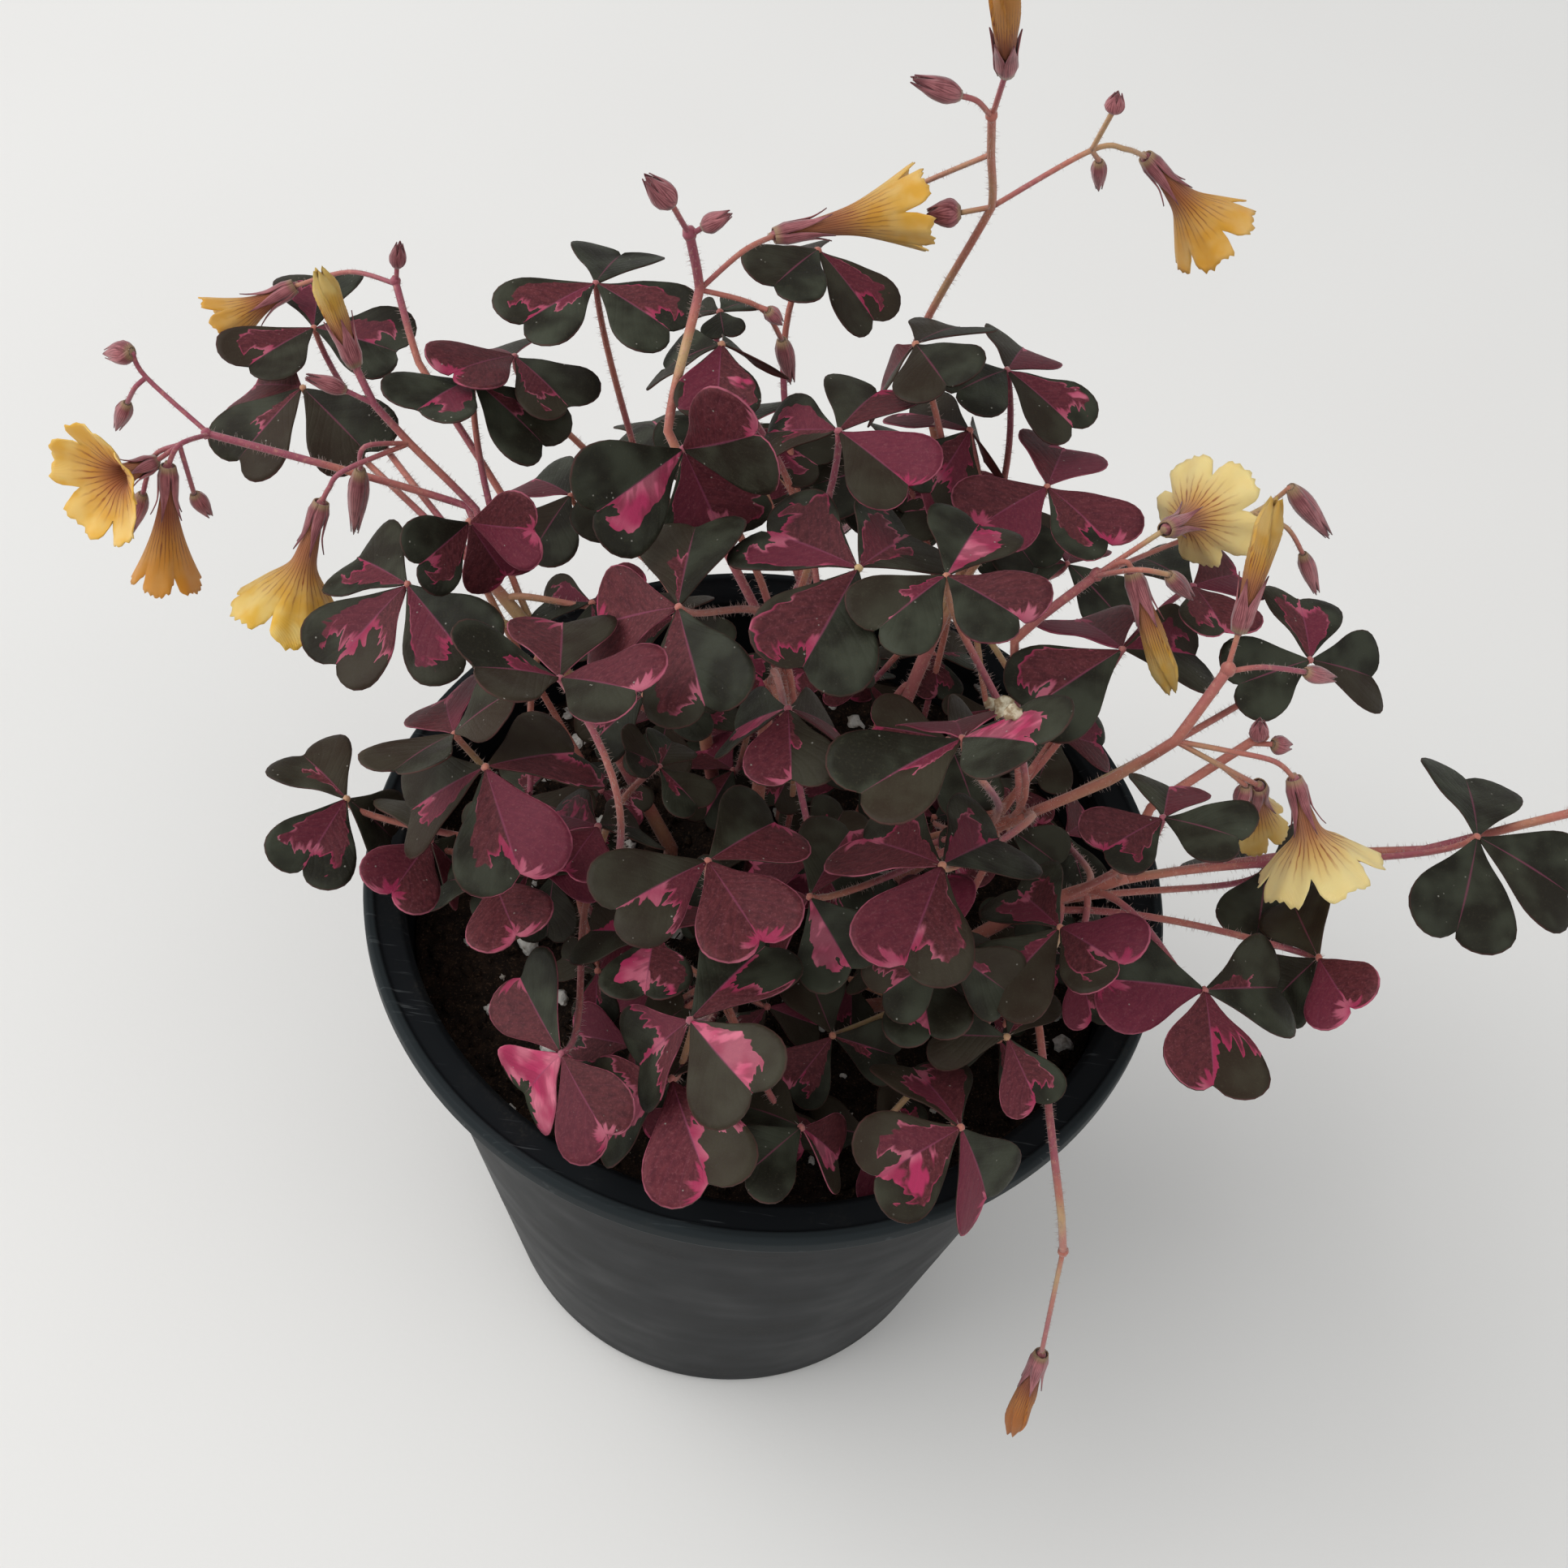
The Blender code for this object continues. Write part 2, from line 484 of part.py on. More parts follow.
def leaf_shape(leaf, petiole=None, extra=0.0, grown=1.0):
    """Three heart-shaped blades, folded on their midribs, and their petiole as one closed skin."""
    hub, sizes, facing = leaf["hub"], leaf["sizes"], leaf["facing"]
    thickness = BLADE + extra
    east, north = frame_along(facing)
    bearings = [math.atan2(axis.dot(north), axis.dot(east)) for axis in leaf["axes"]]
    order = sorted(range(3), key=bearings.__getitem__)
    bearings.sort()
    corners = []
    for number in range(3):
        after = bearings[(number + 1) % 3] + (math.tau if number == 2 else 0)
        between = (bearings[number] + after) / 2
        corners.append(east * math.cos(between) + north * math.sin(between))
    points = [hub + corner * HUB_RADIUS + facing * thickness * HUB_THICK for corner in corners]
    points += [hub + corner * HUB_RADIUS - facing * thickness * HUB_THICK for corner in corners]
    faces = [(0, 1, 2)]
    for number in range(3):
        axis, length = leaf["axes"][order[number]], sizes[order[number]]
        normal = (facing - axis * facing.dot(axis)).normalized()
        across = normal.cross(axis)
        edge = [(u, -v) for u, v in HALF_LEAFLET] + [(NOTCH, 0)]
        edge += [(u, v) for u, v in reversed(HALF_LEAFLET)]
        start = len(points)
        count = len(edge) + 1
        for side in (0.5, -0.5):
            for u, v in edge + [(MIDRIB_MIDDLE, 0)]:
                lift = FOLD * abs(v) - ARCH * u * u
                flat = hub + (axis * u + across * v * grown + normal * lift) * length
                points.append(flat + normal * thickness * side)
        before = (number - 1) % 3
        top = [before] + list(range(start, start + count - 1)) + [number]
        under = [before + 3] + list(range(start + count, start + 2 * count - 1)) + [number + 3]
        top_middle, under_middle = start + count - 1, start + 2 * count - 1
        for i in range(len(top) - 1):
            faces += [(top[i], top[i + 1], top_middle), (under[i + 1], under[i], under_middle)]
            faces += [(top[i + 1], top[i], under[i]), (top[i + 1], under[i], under[i + 1])]
        faces += [(top[-1], top[0], top_middle), (under[0], under[-1], under_middle)]
    if petiole is None:
        return points, faces + [(5, 4, 3)]
    path = list(reversed(petiole))
    radii = [PETIOLE_RADIUS] * (len(path) - 1) + [PETIOLE_RADIUS * 1.2]
    rings = tube_rings(path, radii, 3, corners[0])[1:]
    lower = [3, 4, 5]
    for ring in rings:
        turn = best_turn([points[i] for i in lower], ring)
        upper = lower
        lower = list(range(len(points), len(points) + 3))
        points += [ring[turn[i]] for i in range(3)]
        for i in range(3):
            j = (i + 1) % 3
            faces += [(upper[i], lower[j], upper[j]), (upper[i], lower[i], lower[j])]
    faces.append((lower[2], lower[1], lower[0]))
    return points, faces


def best_turn(above, ring):
    """The order in which a ring of three, which runs the other way round, lies nearest under another."""
    orders = ((0, 2, 1), (2, 1, 0), (1, 0, 2))
    return min(orders, key=lambda order: sum((ring[order[i]] - above[i]).length for i in range(3)))


def tree_of(shape):
    return BVHTree.FromPolygons([tuple(point) for point in shape[0]], shape[1])


def touches(trees, taken):
    return any(tree.overlap(other) for tree in trees for other in taken)


def others_of(taken, name):
    """The trees of every node but this one."""
    return [tree for node, trees in taken.items() if node != name for tree in trees]


def all_of(taken):
    return [tree for trees in taken.values() for tree in trees]


def make_leaf(hub, axes, sizes):
    """A leaf's hub, the directions and lengths of its leaflets, and the way that its hub looks."""
    axes = spread_apart(axes)
    facing = axes[0].cross(axes[1]) + axes[1].cross(axes[2]) + axes[2].cross(axes[0])
    if facing.dot(leaf_facing(hub)) < 0:
        facing = -facing
    facing = (facing.normalized() + leaf_facing(hub) * FACING_SHARE).normalized()
    return {"hub": hub, "axes": axes, "sizes": sizes, "facing": facing}


def seen_leaf(hub, length, middles, rise):
    """Of the eight ways to read its three leaflets, the leaf that looks most natural."""
    pixel_x, pixel_y, height = hub
    place = seen_at(pixel_x, pixel_y, height + rise)
    found = [leaflet_choices(place, middle, length) for middle in middles]
    sizes = [size for _, size in found]
    readings = list(itertools.product(*[choices for choices, _ in found]))
    leaves = [make_leaf(place, axes, sizes) for axes in readings]
    costs = [strain(leaf, axes) for leaf, axes in zip(leaves, readings)]
    return leaves[costs.index(min(costs))]


def back_leaf(index, rise, draw):
    """A leaf on the far side, by rule: even steps round the back, with a little seeded scatter."""
    start, end = BACK_SPREAD
    angle = start + (end - start) * (index + 0.5) / BACK_LEAVES
    inner, outer = BACK_RADIUS
    radius = inner if index % 2 else outer
    radius += draw.uniform(-BACK_SCATTER[0], BACK_SCATTER[0])
    low, high = BACK_HEIGHT
    height = high if index % 2 else low
    height += draw.uniform(-BACK_SCATTER[1], BACK_SCATTER[1]) + rise
    hub = Vector((radius * math.cos(angle), radius * math.sin(angle), height))
    outward = Vector((math.cos(angle), math.sin(angle), 0))
    sideways = Vector((-outward.y, outward.x, 0))
    turn = draw.uniform(-BACK_TURN, BACK_TURN)
    length = BACK_LENGTH * draw.uniform(0.85, 1.1)
    axes = []
    for third in range(3):
        bearing = turn + third * math.tau / 3
        axis = outward * math.cos(bearing) + sideways * math.sin(bearing)
        axis.z = DROOP - BACK_TILT * math.cos(bearing)
        axes.append(axis.normalized())
    return make_leaf(hub, axes, [length] * 3)


def place_leaf(name, leaf_at, taken):
    """Slides the leaf along its line until its blades are clear, then keeps their place."""
    for strict in (True, False):
        nearby = all_of(taken) if strict else others_of(taken, name)
        for shift in LEAF_SHIFTS:
            leaf = leaf_at(shift * LEAF_SHIFT)
            trees = [tree_of(leaf_shape(leaf, None, 2 * CLEAR, GUARD_GROWTH))]
            if not touches(trees, nearby):
                leaf["trees"] = trees
                taken[name] += trees
                return leaf
    raise ValueError(f"a leaf of {name} at {tuple(leaf['hub'])} finds no free place")


def petiole_path(root, direction, leaf, bow):
    """A curve that leaves along the stem and comes up under the leaf's hub."""
    hub = leaf["hub"]
    span = hub - root
    side = span.cross(Vector((0, 0, 1))).normalized()
    leaving = root + (direction * PETIOLE_RISE + span.normalized() * PETIOLE_LEAN) * span.length
    arriving = hub - leaf["facing"] * span.length * PETIOLE_ARRIVAL
    middle = side * span.length * bow
    path = []
    for step in range(PETIOLE_STEPS + 1):
        t = step / PETIOLE_STEPS
        path.append(
            root * (1 - t) ** 3
            + (leaving + middle) * 3 * t * (1 - t) ** 2
            + (arriving + middle) * 3 * t * t * (1 - t)
            + hub * t**3
        )
    return path


def swept_along(path):
    return tree_of(tube(path, [PETIOLE_RADIUS + CLEAR] * len(path), 4))


def place_petiole(name, leaf, start, taken):
    """Takes the first route from the stem to the leaf's hub that is clear of everything else."""
    stem = stem_path(name)
    others = others_of(taken, name)
    own = [tree for tree in taken[name] if tree not in leaf["trees"]]
    for strict in (True, False):
        for bow in PETIOLE_BOWS:
            for i in range(len(PETIOLE_ROOTS)):
                share = PETIOLE_ROOTS[(start + i) % len(PETIOLE_ROOTS)]
                path = petiole_path(*along_path(stem, share), leaf, bow)
                whole, free = swept_along(path), swept_along(path[1:])
                if not touches([whole], others) and not (strict and touches([free], own)):
                    taken[name].append(whole)
                    return path
    raise ValueError(f"a petiole of {name} finds no clear route to {tuple(leaf['hub'])}")


def stalk_path(name, points):
    """A flower stalk from the tip of its leafy stem through the pixels of its row."""
    root = along_path(stem_path(name), STALK_ROOT)[0]
    path = smooth_path([root] + [seen_at(*point) for point in points], 2)
    path[-1] += (path[-1] - path[-2]).normalized() * KNOT
    return path


def bud(radius, points):
    """A pedicel that ends in a pointed bud."""
    places = [seen_at(*point) for point in points]
    foot, tip = places[-2:]
    pedicel = smooth_path(places[:-1], 1 + (len(places) > 3)) if len(places) > 2 else [foot]
    path = pedicel + [foot.lerp(tip, 0.4), tip]
    return path, [PETIOLE_RADIUS] * len(pedicel) + [radius, radius * 0.15]


def flower_axis(foot, mouth):
    start, end = seen_at(*foot), seen_at(*mouth)
    return start, (end - start).normalized(), (end - start).length


def calyx(pedicel, mouth):
    """A pedicel and the cup at its end, whose edge rises in five pointed sepals."""
    places = [seen_at(*point) for point in pedicel]
    start, axis, _ = flower_axis(pedicel[-1], mouth)
    cup = start + axis * CALYX_CUP
    path = smooth_path(places, 1 + (len(places) > 2)) + [cup]
    rings = tube_rings(path, [PETIOLE_RADIUS] * (len(path) - 1) + [CALYX_RADIUS], 5)
    points, faces = loft(rings[:-1], end_cap=False)
    base = len(points) - 5
    first = rings[-1][0] - cup
    first = (first - axis * first.dot(axis)).normalized()
    second = axis.cross(first)
    crown = ((0, 0, CALYX_RADIUS), (0, 0, CALYX_RADIUS - SEPAL), (0.5, SEPAL_LENGTH, SEPAL_SPREAD))
    for turn, along, radius in crown:
        for number in range(5):
            angle = math.tau * (number + turn) / 5
            outward = first * math.cos(angle) + second * math.sin(angle)
            points.append(cup + axis * along + outward * radius)
    faces += [(base + 10, base + 10 + side, base + 11 + side) for side in (1, 2, 3)]
    for number in range(5):
        a, b = base + number, base + (number + 1) % 5
        tip = a + 15
        faces += [(a, b, b + 5), (a, b + 5, a + 5)]
        faces += [(a + 5, b + 5, tip), (b + 10, a + 10, tip)]
        faces += [(b + 5, b + 10, tip), (a + 10, a + 5, tip)]
    return points, faces


def corolla_rings(start, axis, profile):
    """Rings up the outside and down the inside: for each petal a point in the cleft and two on its end."""
    first, second = frame_along(axis)
    outside, inside = [], []
    for level, (along, radius) in enumerate(profile):
        behind = Vector(profile[max(level - 1, 0)])
        ahead = Vector(profile[min(level + 1, len(profile) - 1)])
        rise, spread = (ahead - behind).normalized()
        outer, inner = [], []
        for side in range(15):
            angle = math.tau * (side + CLEFT_TURN[side % 3]) / 15
            outward = first * math.cos(angle) + second * math.sin(angle)
            cut = CLEFTS[level] if side % 3 == 0 else 1.0
            point = start + axis * (along * (0.5 + 0.5 * cut)) + outward * radius * cut
            outer.append(point)
            inner.append(point + (axis * spread - outward * rise) * PETAL)
        outside.append(outer)
        inside.append(inner)
    return outside + inside[:0:-1]


def open_corolla(foot, mouth, radius):
    """A funnel of five joined petals that spread at the mouth."""
    start, axis, length = flower_axis(foot, mouth)
    start = start + axis * (CALYX_CUP + GAP)
    length -= CALYX_CUP
    middle, tube_radius = OPEN_MIDDLE
    bell, flattening, bell_radius = OPEN_BELL
    profile = (
        (0.0, THROAT_RADIUS),
        (length * middle, tube_radius),
        (length * (bell - flattening * radius / WIDEST_MOUTH), radius * bell_radius),
        (length, radius),
    )
    return loft(corolla_rings(start, axis, profile), inside_from=len(profile))


def rolled_corolla(foot, mouth):
    """A flower that has rolled its petals up."""
    start, axis, length = flower_axis(foot, mouth)
    start = start + axis * (CALYX_CUP + GAP)
    length -= CALYX_CUP
    places = [start + axis * length * share for share in ROLLED_SHARES]
    return tube(places, ROLLED_RADII, 7)


def wall_radius(height):
    """Radius of the pot's outer wall at this height, under the rolled rim."""
    top = RIM_RADIUS - RIM_FLAT
    return BASE_RADIUS + (top - BASE_RADIUS) * height / (POT_HEIGHT - RIM_DEPTH)


def level_ring(radius, height, sides):
    """A ring of points round the pot's axis."""
    turns = [math.tau * side / sides for side in range(sides)]
    return [Vector((radius * math.cos(turn), radius * math.sin(turn), height)) for turn in turns]


def make_pot():
    """A thin tapered pot with a flat rolled rim and drain holes in its floor."""
    under_rim = POT_HEIGHT - RIM_DEPTH
    profile = (
        (BASE_RADIUS - 0.0015, 0),
        (BASE_RADIUS, 0.0015),
        (wall_radius(under_rim), under_rim),
        (RIM_RADIUS - 0.0010, under_rim),
        (RIM_RADIUS, under_rim + 0.0012),
        (RIM_RADIUS - 0.0004, POT_HEIGHT - 0.0012),
        (RIM_RADIUS - 0.0016, POT_HEIGHT),
        (RIM_RADIUS - 0.0016 - RIM_FLAT, POT_HEIGHT),
        (RIM_RADIUS - 0.0026 - RIM_FLAT, POT_HEIGHT - 0.0012),
        (wall_radius(under_rim) - WALL, under_rim - 0.0030),
        (wall_radius(FLOOR) - WALL, FLOOR),
    )
    shape = loft([level_ring(radius, height, POT_SIDES) for radius, height in profile])
    pot = make_object("pot", shape, "pot")
    drill = bpy.data.collections.new("drill")
    for number in range(DRAIN_HOLES):
        angle = math.tau * (number + 0.5) / DRAIN_HOLES
        place = Vector((DRAIN_RING * math.cos(angle), DRAIN_RING * math.sin(angle), 0))
        ends = [place - Vector((0, 0, FLOOR)), place + Vector((0, 0, 2 * FLOOR))]
        make_object("drain", tube(ends, [DRAIN_RADIUS] * 2, 10), "pot", drill)
    apply_boolean(pot, "DIFFERENCE", drill, "EXACT")


def vessel_skin():
    """The pot's outside and the soil's top in few faces, which leaves and stalks keep clear of."""
    under_rim = POT_HEIGHT - RIM_DEPTH
    soil_level = SOIL_TOP + SOIL_BUMP
    profile = (
        (BASE_RADIUS, 0),
        (wall_radius(under_rim), under_rim),
        (RIM_RADIUS, under_rim),
        (RIM_RADIUS, POT_HEIGHT),
        (wall_radius(under_rim) - WALL, POT_HEIGHT),
        (wall_radius(SOIL_TOP) - WALL, soil_level),
    )
    return loft([level_ring(radius, height, POT_SIDES) for radius, height in profile])


def make_soil():
    """Peat that fills the pot, with a bumpy top and a plain hole for each leafy stem."""
    lowest = FLOOR + GAP
    clear = WALL + SOIL_CLEAR
    draw = random.Random(SOIL_SEED)
    rings = [level_ring(wall_radius(lowest) - clear, lowest, SOIL_SIDES)]
    for share, roughness in SOIL_RINGS:
        ring = level_ring((wall_radius(SOIL_TOP) - clear) * share, SOIL_TOP - 0.001, SOIL_SIDES)
        for point in ring:
            point.z += draw.uniform(-SOIL_BUMP, SOIL_BUMP) * roughness
        rings.append(ring)
    soil = make_object("soil", loft(rings), "soil")
    holes = bpy.data.collections.new("holes")
    for name in STEMS:
        path = stem_path(name)
        ends = [path[0] - Vector((0, 0, GAP)), path[1] + Vector((0, 0, STEM_NECK))]
        radius = STEM_RADIUS * STEM_SWELL + HOLE_CLEAR
        make_object("hole", tube(ends, [radius] * 2, 6), "soil", holes)
    apply_boolean(soil, "DIFFERENCE", holes, "EXACT")


def apply_boolean(target, operation, collection, solver):
    """One Boolean with a whole collection, applied, with the collection's objects then removed."""
    modifier = target.modifiers.new(operation, "BOOLEAN")
    modifier.operation = operation
    modifier.operand_type = "COLLECTION"
    modifier.collection = collection
    modifier.solver = solver
    graph = bpy.context.evaluated_depsgraph_get()
    joined = bpy.data.meshes.new_from_object(target.evaluated_get(graph))
    target.modifiers.clear()
    target.data = joined
    for helper in list(collection.objects):
        bpy.data.objects.remove(helper)
    bpy.data.collections.remove(collection)


def keep_one_body(target):
    """Keeps the body with the most faces, so that loose scraps and sealed hollows go."""
    shape = bmesh.new()
    shape.from_mesh(target.data)
    bmesh.ops.triangulate(shape, faces=shape.faces)
    islands = []
    left = set(shape.faces)
    while left:
        island = set()
        front = [left.pop()]
        while front:
            face = front.pop()
            island.add(face)
            for edge in face.edges:
                for neighbour in edge.link_faces:
                    if neighbour in left:
                        left.remove(neighbour)
                        front.append(neighbour)
        islands.append(island)
    islands.sort(key=len)
    for island in islands[:-1]:
        bmesh.ops.delete(shape, geom=list(island), context="FACES")
    shape.to_mesh(target.data)
    shape.free()


def fuse(name, shapes):
    """One solid for a node from its overlapping shapes."""
    target = make_object(name, shapes[0], "foliage")
    rest = bpy.data.collections.new(name + "_shapes")
    for shape in shapes[1:]:
        make_object("shape", shape, "foliage", rest)
    apply_boolean(target, "UNION", rest, "MANIFOLD")
    keep_one_body(target)


def clear_scene():
    for old in list(bpy.data.objects):
        bpy.data.objects.remove(old)


def add_stems(taken, shapes):
    for name in STEMS:
        path = stem_path(name)
        shares = [STEM_SWELL] * 2 + [1] * (len(path) - 3) + [STEM_TAPER]
        shapes[name].append(tube(path, [STEM_RADIUS * share for share in shares], 5))
        free = path[2:]
        taken[name].append(tree_of(tube(free, [STEM_RADIUS + CLEAR] * len(free), 6)))


def add_stalks_and_buds(taken, shapes):
    for name, radius, points in STALKS:
        path = stalk_path(name, points)
        shapes[name].append(tube(path, [radius] * len(path), 4))
        free = path[1:]
        taken[name].append(tree_of(tube(free, [radius + CLEAR] * len(free), 4)))
    for name, radius, points in BUDS:
        path, radii = bud(radius, points)
        shapes[name].append(tube(path, radii, 4))
        taken[name].append(tree_of(tube(path, [radius + CLEAR for radius in radii], 4)))


def add_flowers(taken, shapes):
    """Each calyx belongs to its leafy stem, and each corolla is a solid of its own."""
    for flower, name, radius, pedicel, mouth in FLOWERS:
        cup = calyx(pedicel, mouth)
        shapes[name].append(cup)
        taken[name].append(tree_of(cup))
        foot = pedicel[-1]
        corolla = open_corolla(foot, mouth, radius) if radius else rolled_corolla(foot, mouth)
        make_object(flower, corolla, "petal")
        taken[flower] = [tree_of(corolla)]


def add_leaves(taken, shapes):
    """Places all blades first, the seen ones before those at the back, and then every petiole."""
    leaves = []
    for name, rows in LEAVES.items():
        for row in rows:
            leaves.append((name, place_leaf(name, lambda rise: seen_leaf(*row, rise), taken)))
    tips = {name: Vector(STEMS[name][1]) for name in BACK_STEMS}
    for index in range(BACK_LEAVES):
        seed = BACK_SEED + index
        hub = back_leaf(index, 0, random.Random(seed))["hub"]
        name = min(BACK_STEMS, key=lambda stem: (tips[stem] - hub).length)
        leaf = place_leaf(name, lambda rise: back_leaf(index, rise, random.Random(seed)), taken)
        leaves.append((name, leaf))
    for number, (name, leaf) in enumerate(leaves):
        shapes[name].append(leaf_shape(leaf, place_petiole(name, leaf, number, taken)))


def main():
    clear_scene()
    make_pot()
    make_soil()
    taken = {name: [] for name in STEMS}
    taken["vessel"] = [tree_of(vessel_skin())]
    shapes = {name: [] for name in STEMS}
    add_stems(taken, shapes)
    add_stalks_and_buds(taken, shapes)
    add_flowers(taken, shapes)
    add_leaves(taken, shapes)
    for name in STEMS:
        fuse(name, shapes[name])


main()
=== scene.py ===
# Potted volcanic sorrel: puts fine leaves, petals, hairs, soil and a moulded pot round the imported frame.
# Metres, +Z up. The pot stands on z = 0, and the viewer is on the -Y side.
import functools
import itertools
import json
import math
import random

import bpy
import numpy as np
from mathutils import Matrix, Vector, noise

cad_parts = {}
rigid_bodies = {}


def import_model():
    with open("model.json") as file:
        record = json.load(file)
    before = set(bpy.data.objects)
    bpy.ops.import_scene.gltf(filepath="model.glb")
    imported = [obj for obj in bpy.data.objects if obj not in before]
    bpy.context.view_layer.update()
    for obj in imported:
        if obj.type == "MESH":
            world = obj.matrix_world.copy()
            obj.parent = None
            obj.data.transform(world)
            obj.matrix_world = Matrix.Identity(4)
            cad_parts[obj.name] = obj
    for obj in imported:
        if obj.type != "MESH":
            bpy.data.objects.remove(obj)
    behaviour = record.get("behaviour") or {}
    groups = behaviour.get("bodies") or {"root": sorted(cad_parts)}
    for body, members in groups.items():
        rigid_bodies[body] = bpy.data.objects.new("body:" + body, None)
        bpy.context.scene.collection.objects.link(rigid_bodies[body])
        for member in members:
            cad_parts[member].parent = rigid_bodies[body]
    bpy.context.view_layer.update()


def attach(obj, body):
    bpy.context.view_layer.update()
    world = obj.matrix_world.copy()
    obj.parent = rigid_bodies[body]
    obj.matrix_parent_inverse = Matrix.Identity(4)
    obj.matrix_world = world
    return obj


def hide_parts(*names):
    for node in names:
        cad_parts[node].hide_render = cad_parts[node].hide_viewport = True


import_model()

print("sorrel: frame loaded")

# where the plant was seen from: pixels of a square picture 1932 pixels wide
sight = {
    "centre": 966,
    "focal": 2300,
    "target": Vector((0.0005, 0, 0.137)),
    "distance": 0.286,
    "elevation": math.radians(53),
    "roll": math.radians(8),
}
sightRight = Vector((1, 0, 0))
sightUp = Vector((0, math.sin(sight["elevation"]), math.cos(sight["elevation"])))
sightBack = Vector((0, -math.cos(sight["elevation"]), math.sin(sight["elevation"])))
rollCos, rollSin = math.cos(sight["roll"]), math.sin(sight["roll"])
eye = sight["target"] + sightBack * sight["distance"]


def seenAt(pixelX, pixelY, height):
    # the place at this height that shows at this pixel
    across = pixelX - sight["centre"]
    above = sight["centre"] - pixelY
    u = rollCos * across - rollSin * above
    v = rollSin * across + rollCos * above
    ray = sightRight * u + sightUp * v - sightBack * sight["focal"]
    return eye + ray * ((height - eye.z) / ray.z)


def placeCamera():
    x = sightRight * rollCos + sightUp * rollSin
    y = sightUp * rollCos - sightRight * rollSin
    data = bpy.data.cameras.new("camera")
    data.sensor_width = 36
    data.lens = data.sensor_width * sight["focal"] / (2 * sight["centre"])
    data.clip_start = 0.01
    camera = bpy.data.objects.new("camera", data)
    bpy.context.scene.collection.objects.link(camera)
    camera.matrix_world = Matrix.Translation(eye) @ Matrix((x, y, sightBack)).transposed().to_4x4()
    bpy.context.scene.camera = camera


placeCamera()

# layout, in metres, with the same sizes as the solids
potSize = {
    "height": 0.115,
    "rimRadius": 0.065,
    "rimFlat": 0.004,
    "rimDepth": 0.0045,
    "baseRadius": 0.0455,
    "wall": 0.0016,
    "floor": 0.002,
    "drainHoles": 5,
    "drainRadius": 0.004,
    "drainRing": 0.031,
}
soilSize = {
    "top": 0.1,
    "bump": 0.0022,
    "sides": 24,
    "rings": ((1.0, 0.4), (0.78, 1.0), (0.5, 1.0), (0.22, 1.0)),  # share of the radius, roughness
    "clear": 0.0009,
    "seed": 5,
}
stemSize = {
    "sunk": 0.011,
    "neck": 0.004,
    "radius": 0.0011,
    "taper": 0.8,
    "bow": 0.16,
    "stalkRoot": 0.98,
    "knot": 0.0005,
    "straight": 0.8,  # how straight a stalk is between its knots, from 0 to 1
}
petioleSize = {"radius": 0.0006, "rise": 0.3, "lean": 0.1, "arrival": 0.25}
leafSize = {
    "hub": 0.00095,
    "notch": 0.96,
    "leastSpread": math.radians(79),
    "middleSeen": 0.65,  # share of a leaflet's length where its pixel in the table lies
    "leastDepth": 1.02,
    "droop": -0.15,
    "fold": 0.16,
    "arch": 0.12,
    "facing": (0.3, 0.9, 0.15),  # up, towards the light, outwards
    "facingShare": 1.2,
    "shift": 0.0015,
}
backLeaves = {
    "spread": (math.radians(52), math.radians(128)),
    "radius": (0.058, 0.080),
    "height": (0.126, 0.150),
    "length": 0.0155,
    "grown": (0.85, 1.1),
    "seed": 11,
    "tilt": 0.25,
    "turn": 0.5,
    "scatter": (0.003, 0.004),
}
innerLeaves = {
    # small leaves below the others, which the solids leave to this script
    "radius": 0.048,
    "height": (0.110, 0.142),
    "length": (0.0075, 0.0115),
    "middle": (0.006, -0.002),
    "tilt": 0.30,
    "seed": 400,
}
flowerSize = {"calyxCup": 0.0014, "gap": 0.0003, "widest": 0.0095}

# foot on the soil (x, y), then the growing tip (x, y, height)
stems = {
    "left": ((-0.017, 0.008), (-0.049, 0.02, 0.152)),
    "back_left": ((-0.012, 0.024), (-0.028, 0.05, 0.142)),
    "back": ((0.001, 0.022), (-0.002, 0.046, 0.152)),
    "middle": ((-0.003, 0.003), (-0.004, 0.011, 0.158)),
    "back_right": ((0.014, 0.018), (0.025, 0.042, 0.148)),
    "right": ((0.018, 0.004), (0.037, -0.004, 0.143)),
    "far_right": ((0.026, -0.01), (0.054, -0.007, 0.135)),
    "front_right": ((0.014, -0.019), (0.036, -0.028, 0.123)),
    "front": ((-0.003, -0.019), (-0.007, -0.031, 0.127)),
    "front_left": ((-0.018, -0.008), (-0.035, -0.014, 0.13)),
}

# hub's pixel and height, leaflets' length, the pixel in the middle of each leaflet, whether each reaches
# nearer or farther than its hub, steps that the leaf is raised to be clear, share of the stem's length
# where its petiole leaves, that petiole's bow, then the leaflets' colours: two letters for each, for its
# anticlockwise and its clockwise half as seen from above
# g green, w narrow plum wedge, W wide wedge, M plum with a green margin, P plum, T plum with a green tip,
# m pinkish M, k pink wedge, K pink
leaves = {}
leaves["left"] = (
    ((387, 404, 0.168), 0.0155, ((334, 428), (391, 356), (452, 418)), "nfn", -7, 0.93, 0, "gW Wg Wg"),
    ((373, 478, 0.165), 0.0155, ((316, 533), (326, 470), (424, 527)), "nfn", -4, 0.93, 0, "gw PP gg"),
    ((582, 468, 0.172), 0.015, ((540, 484), (563, 470), (643, 516)), "nfn", 0, 0.79, 0, "Wg PP wg"),
    ((502, 720, 0.16), 0.0158, ((454, 691), (442, 785), (543, 778)), "fnn", 0, 0.79, 0, "Wg TW gW"),
    ((578, 643, 0.166), 0.0122, ((550, 676), (611, 694), (620, 655)), "nfn", 0, 1, 0, "Mg PP PP"),
)
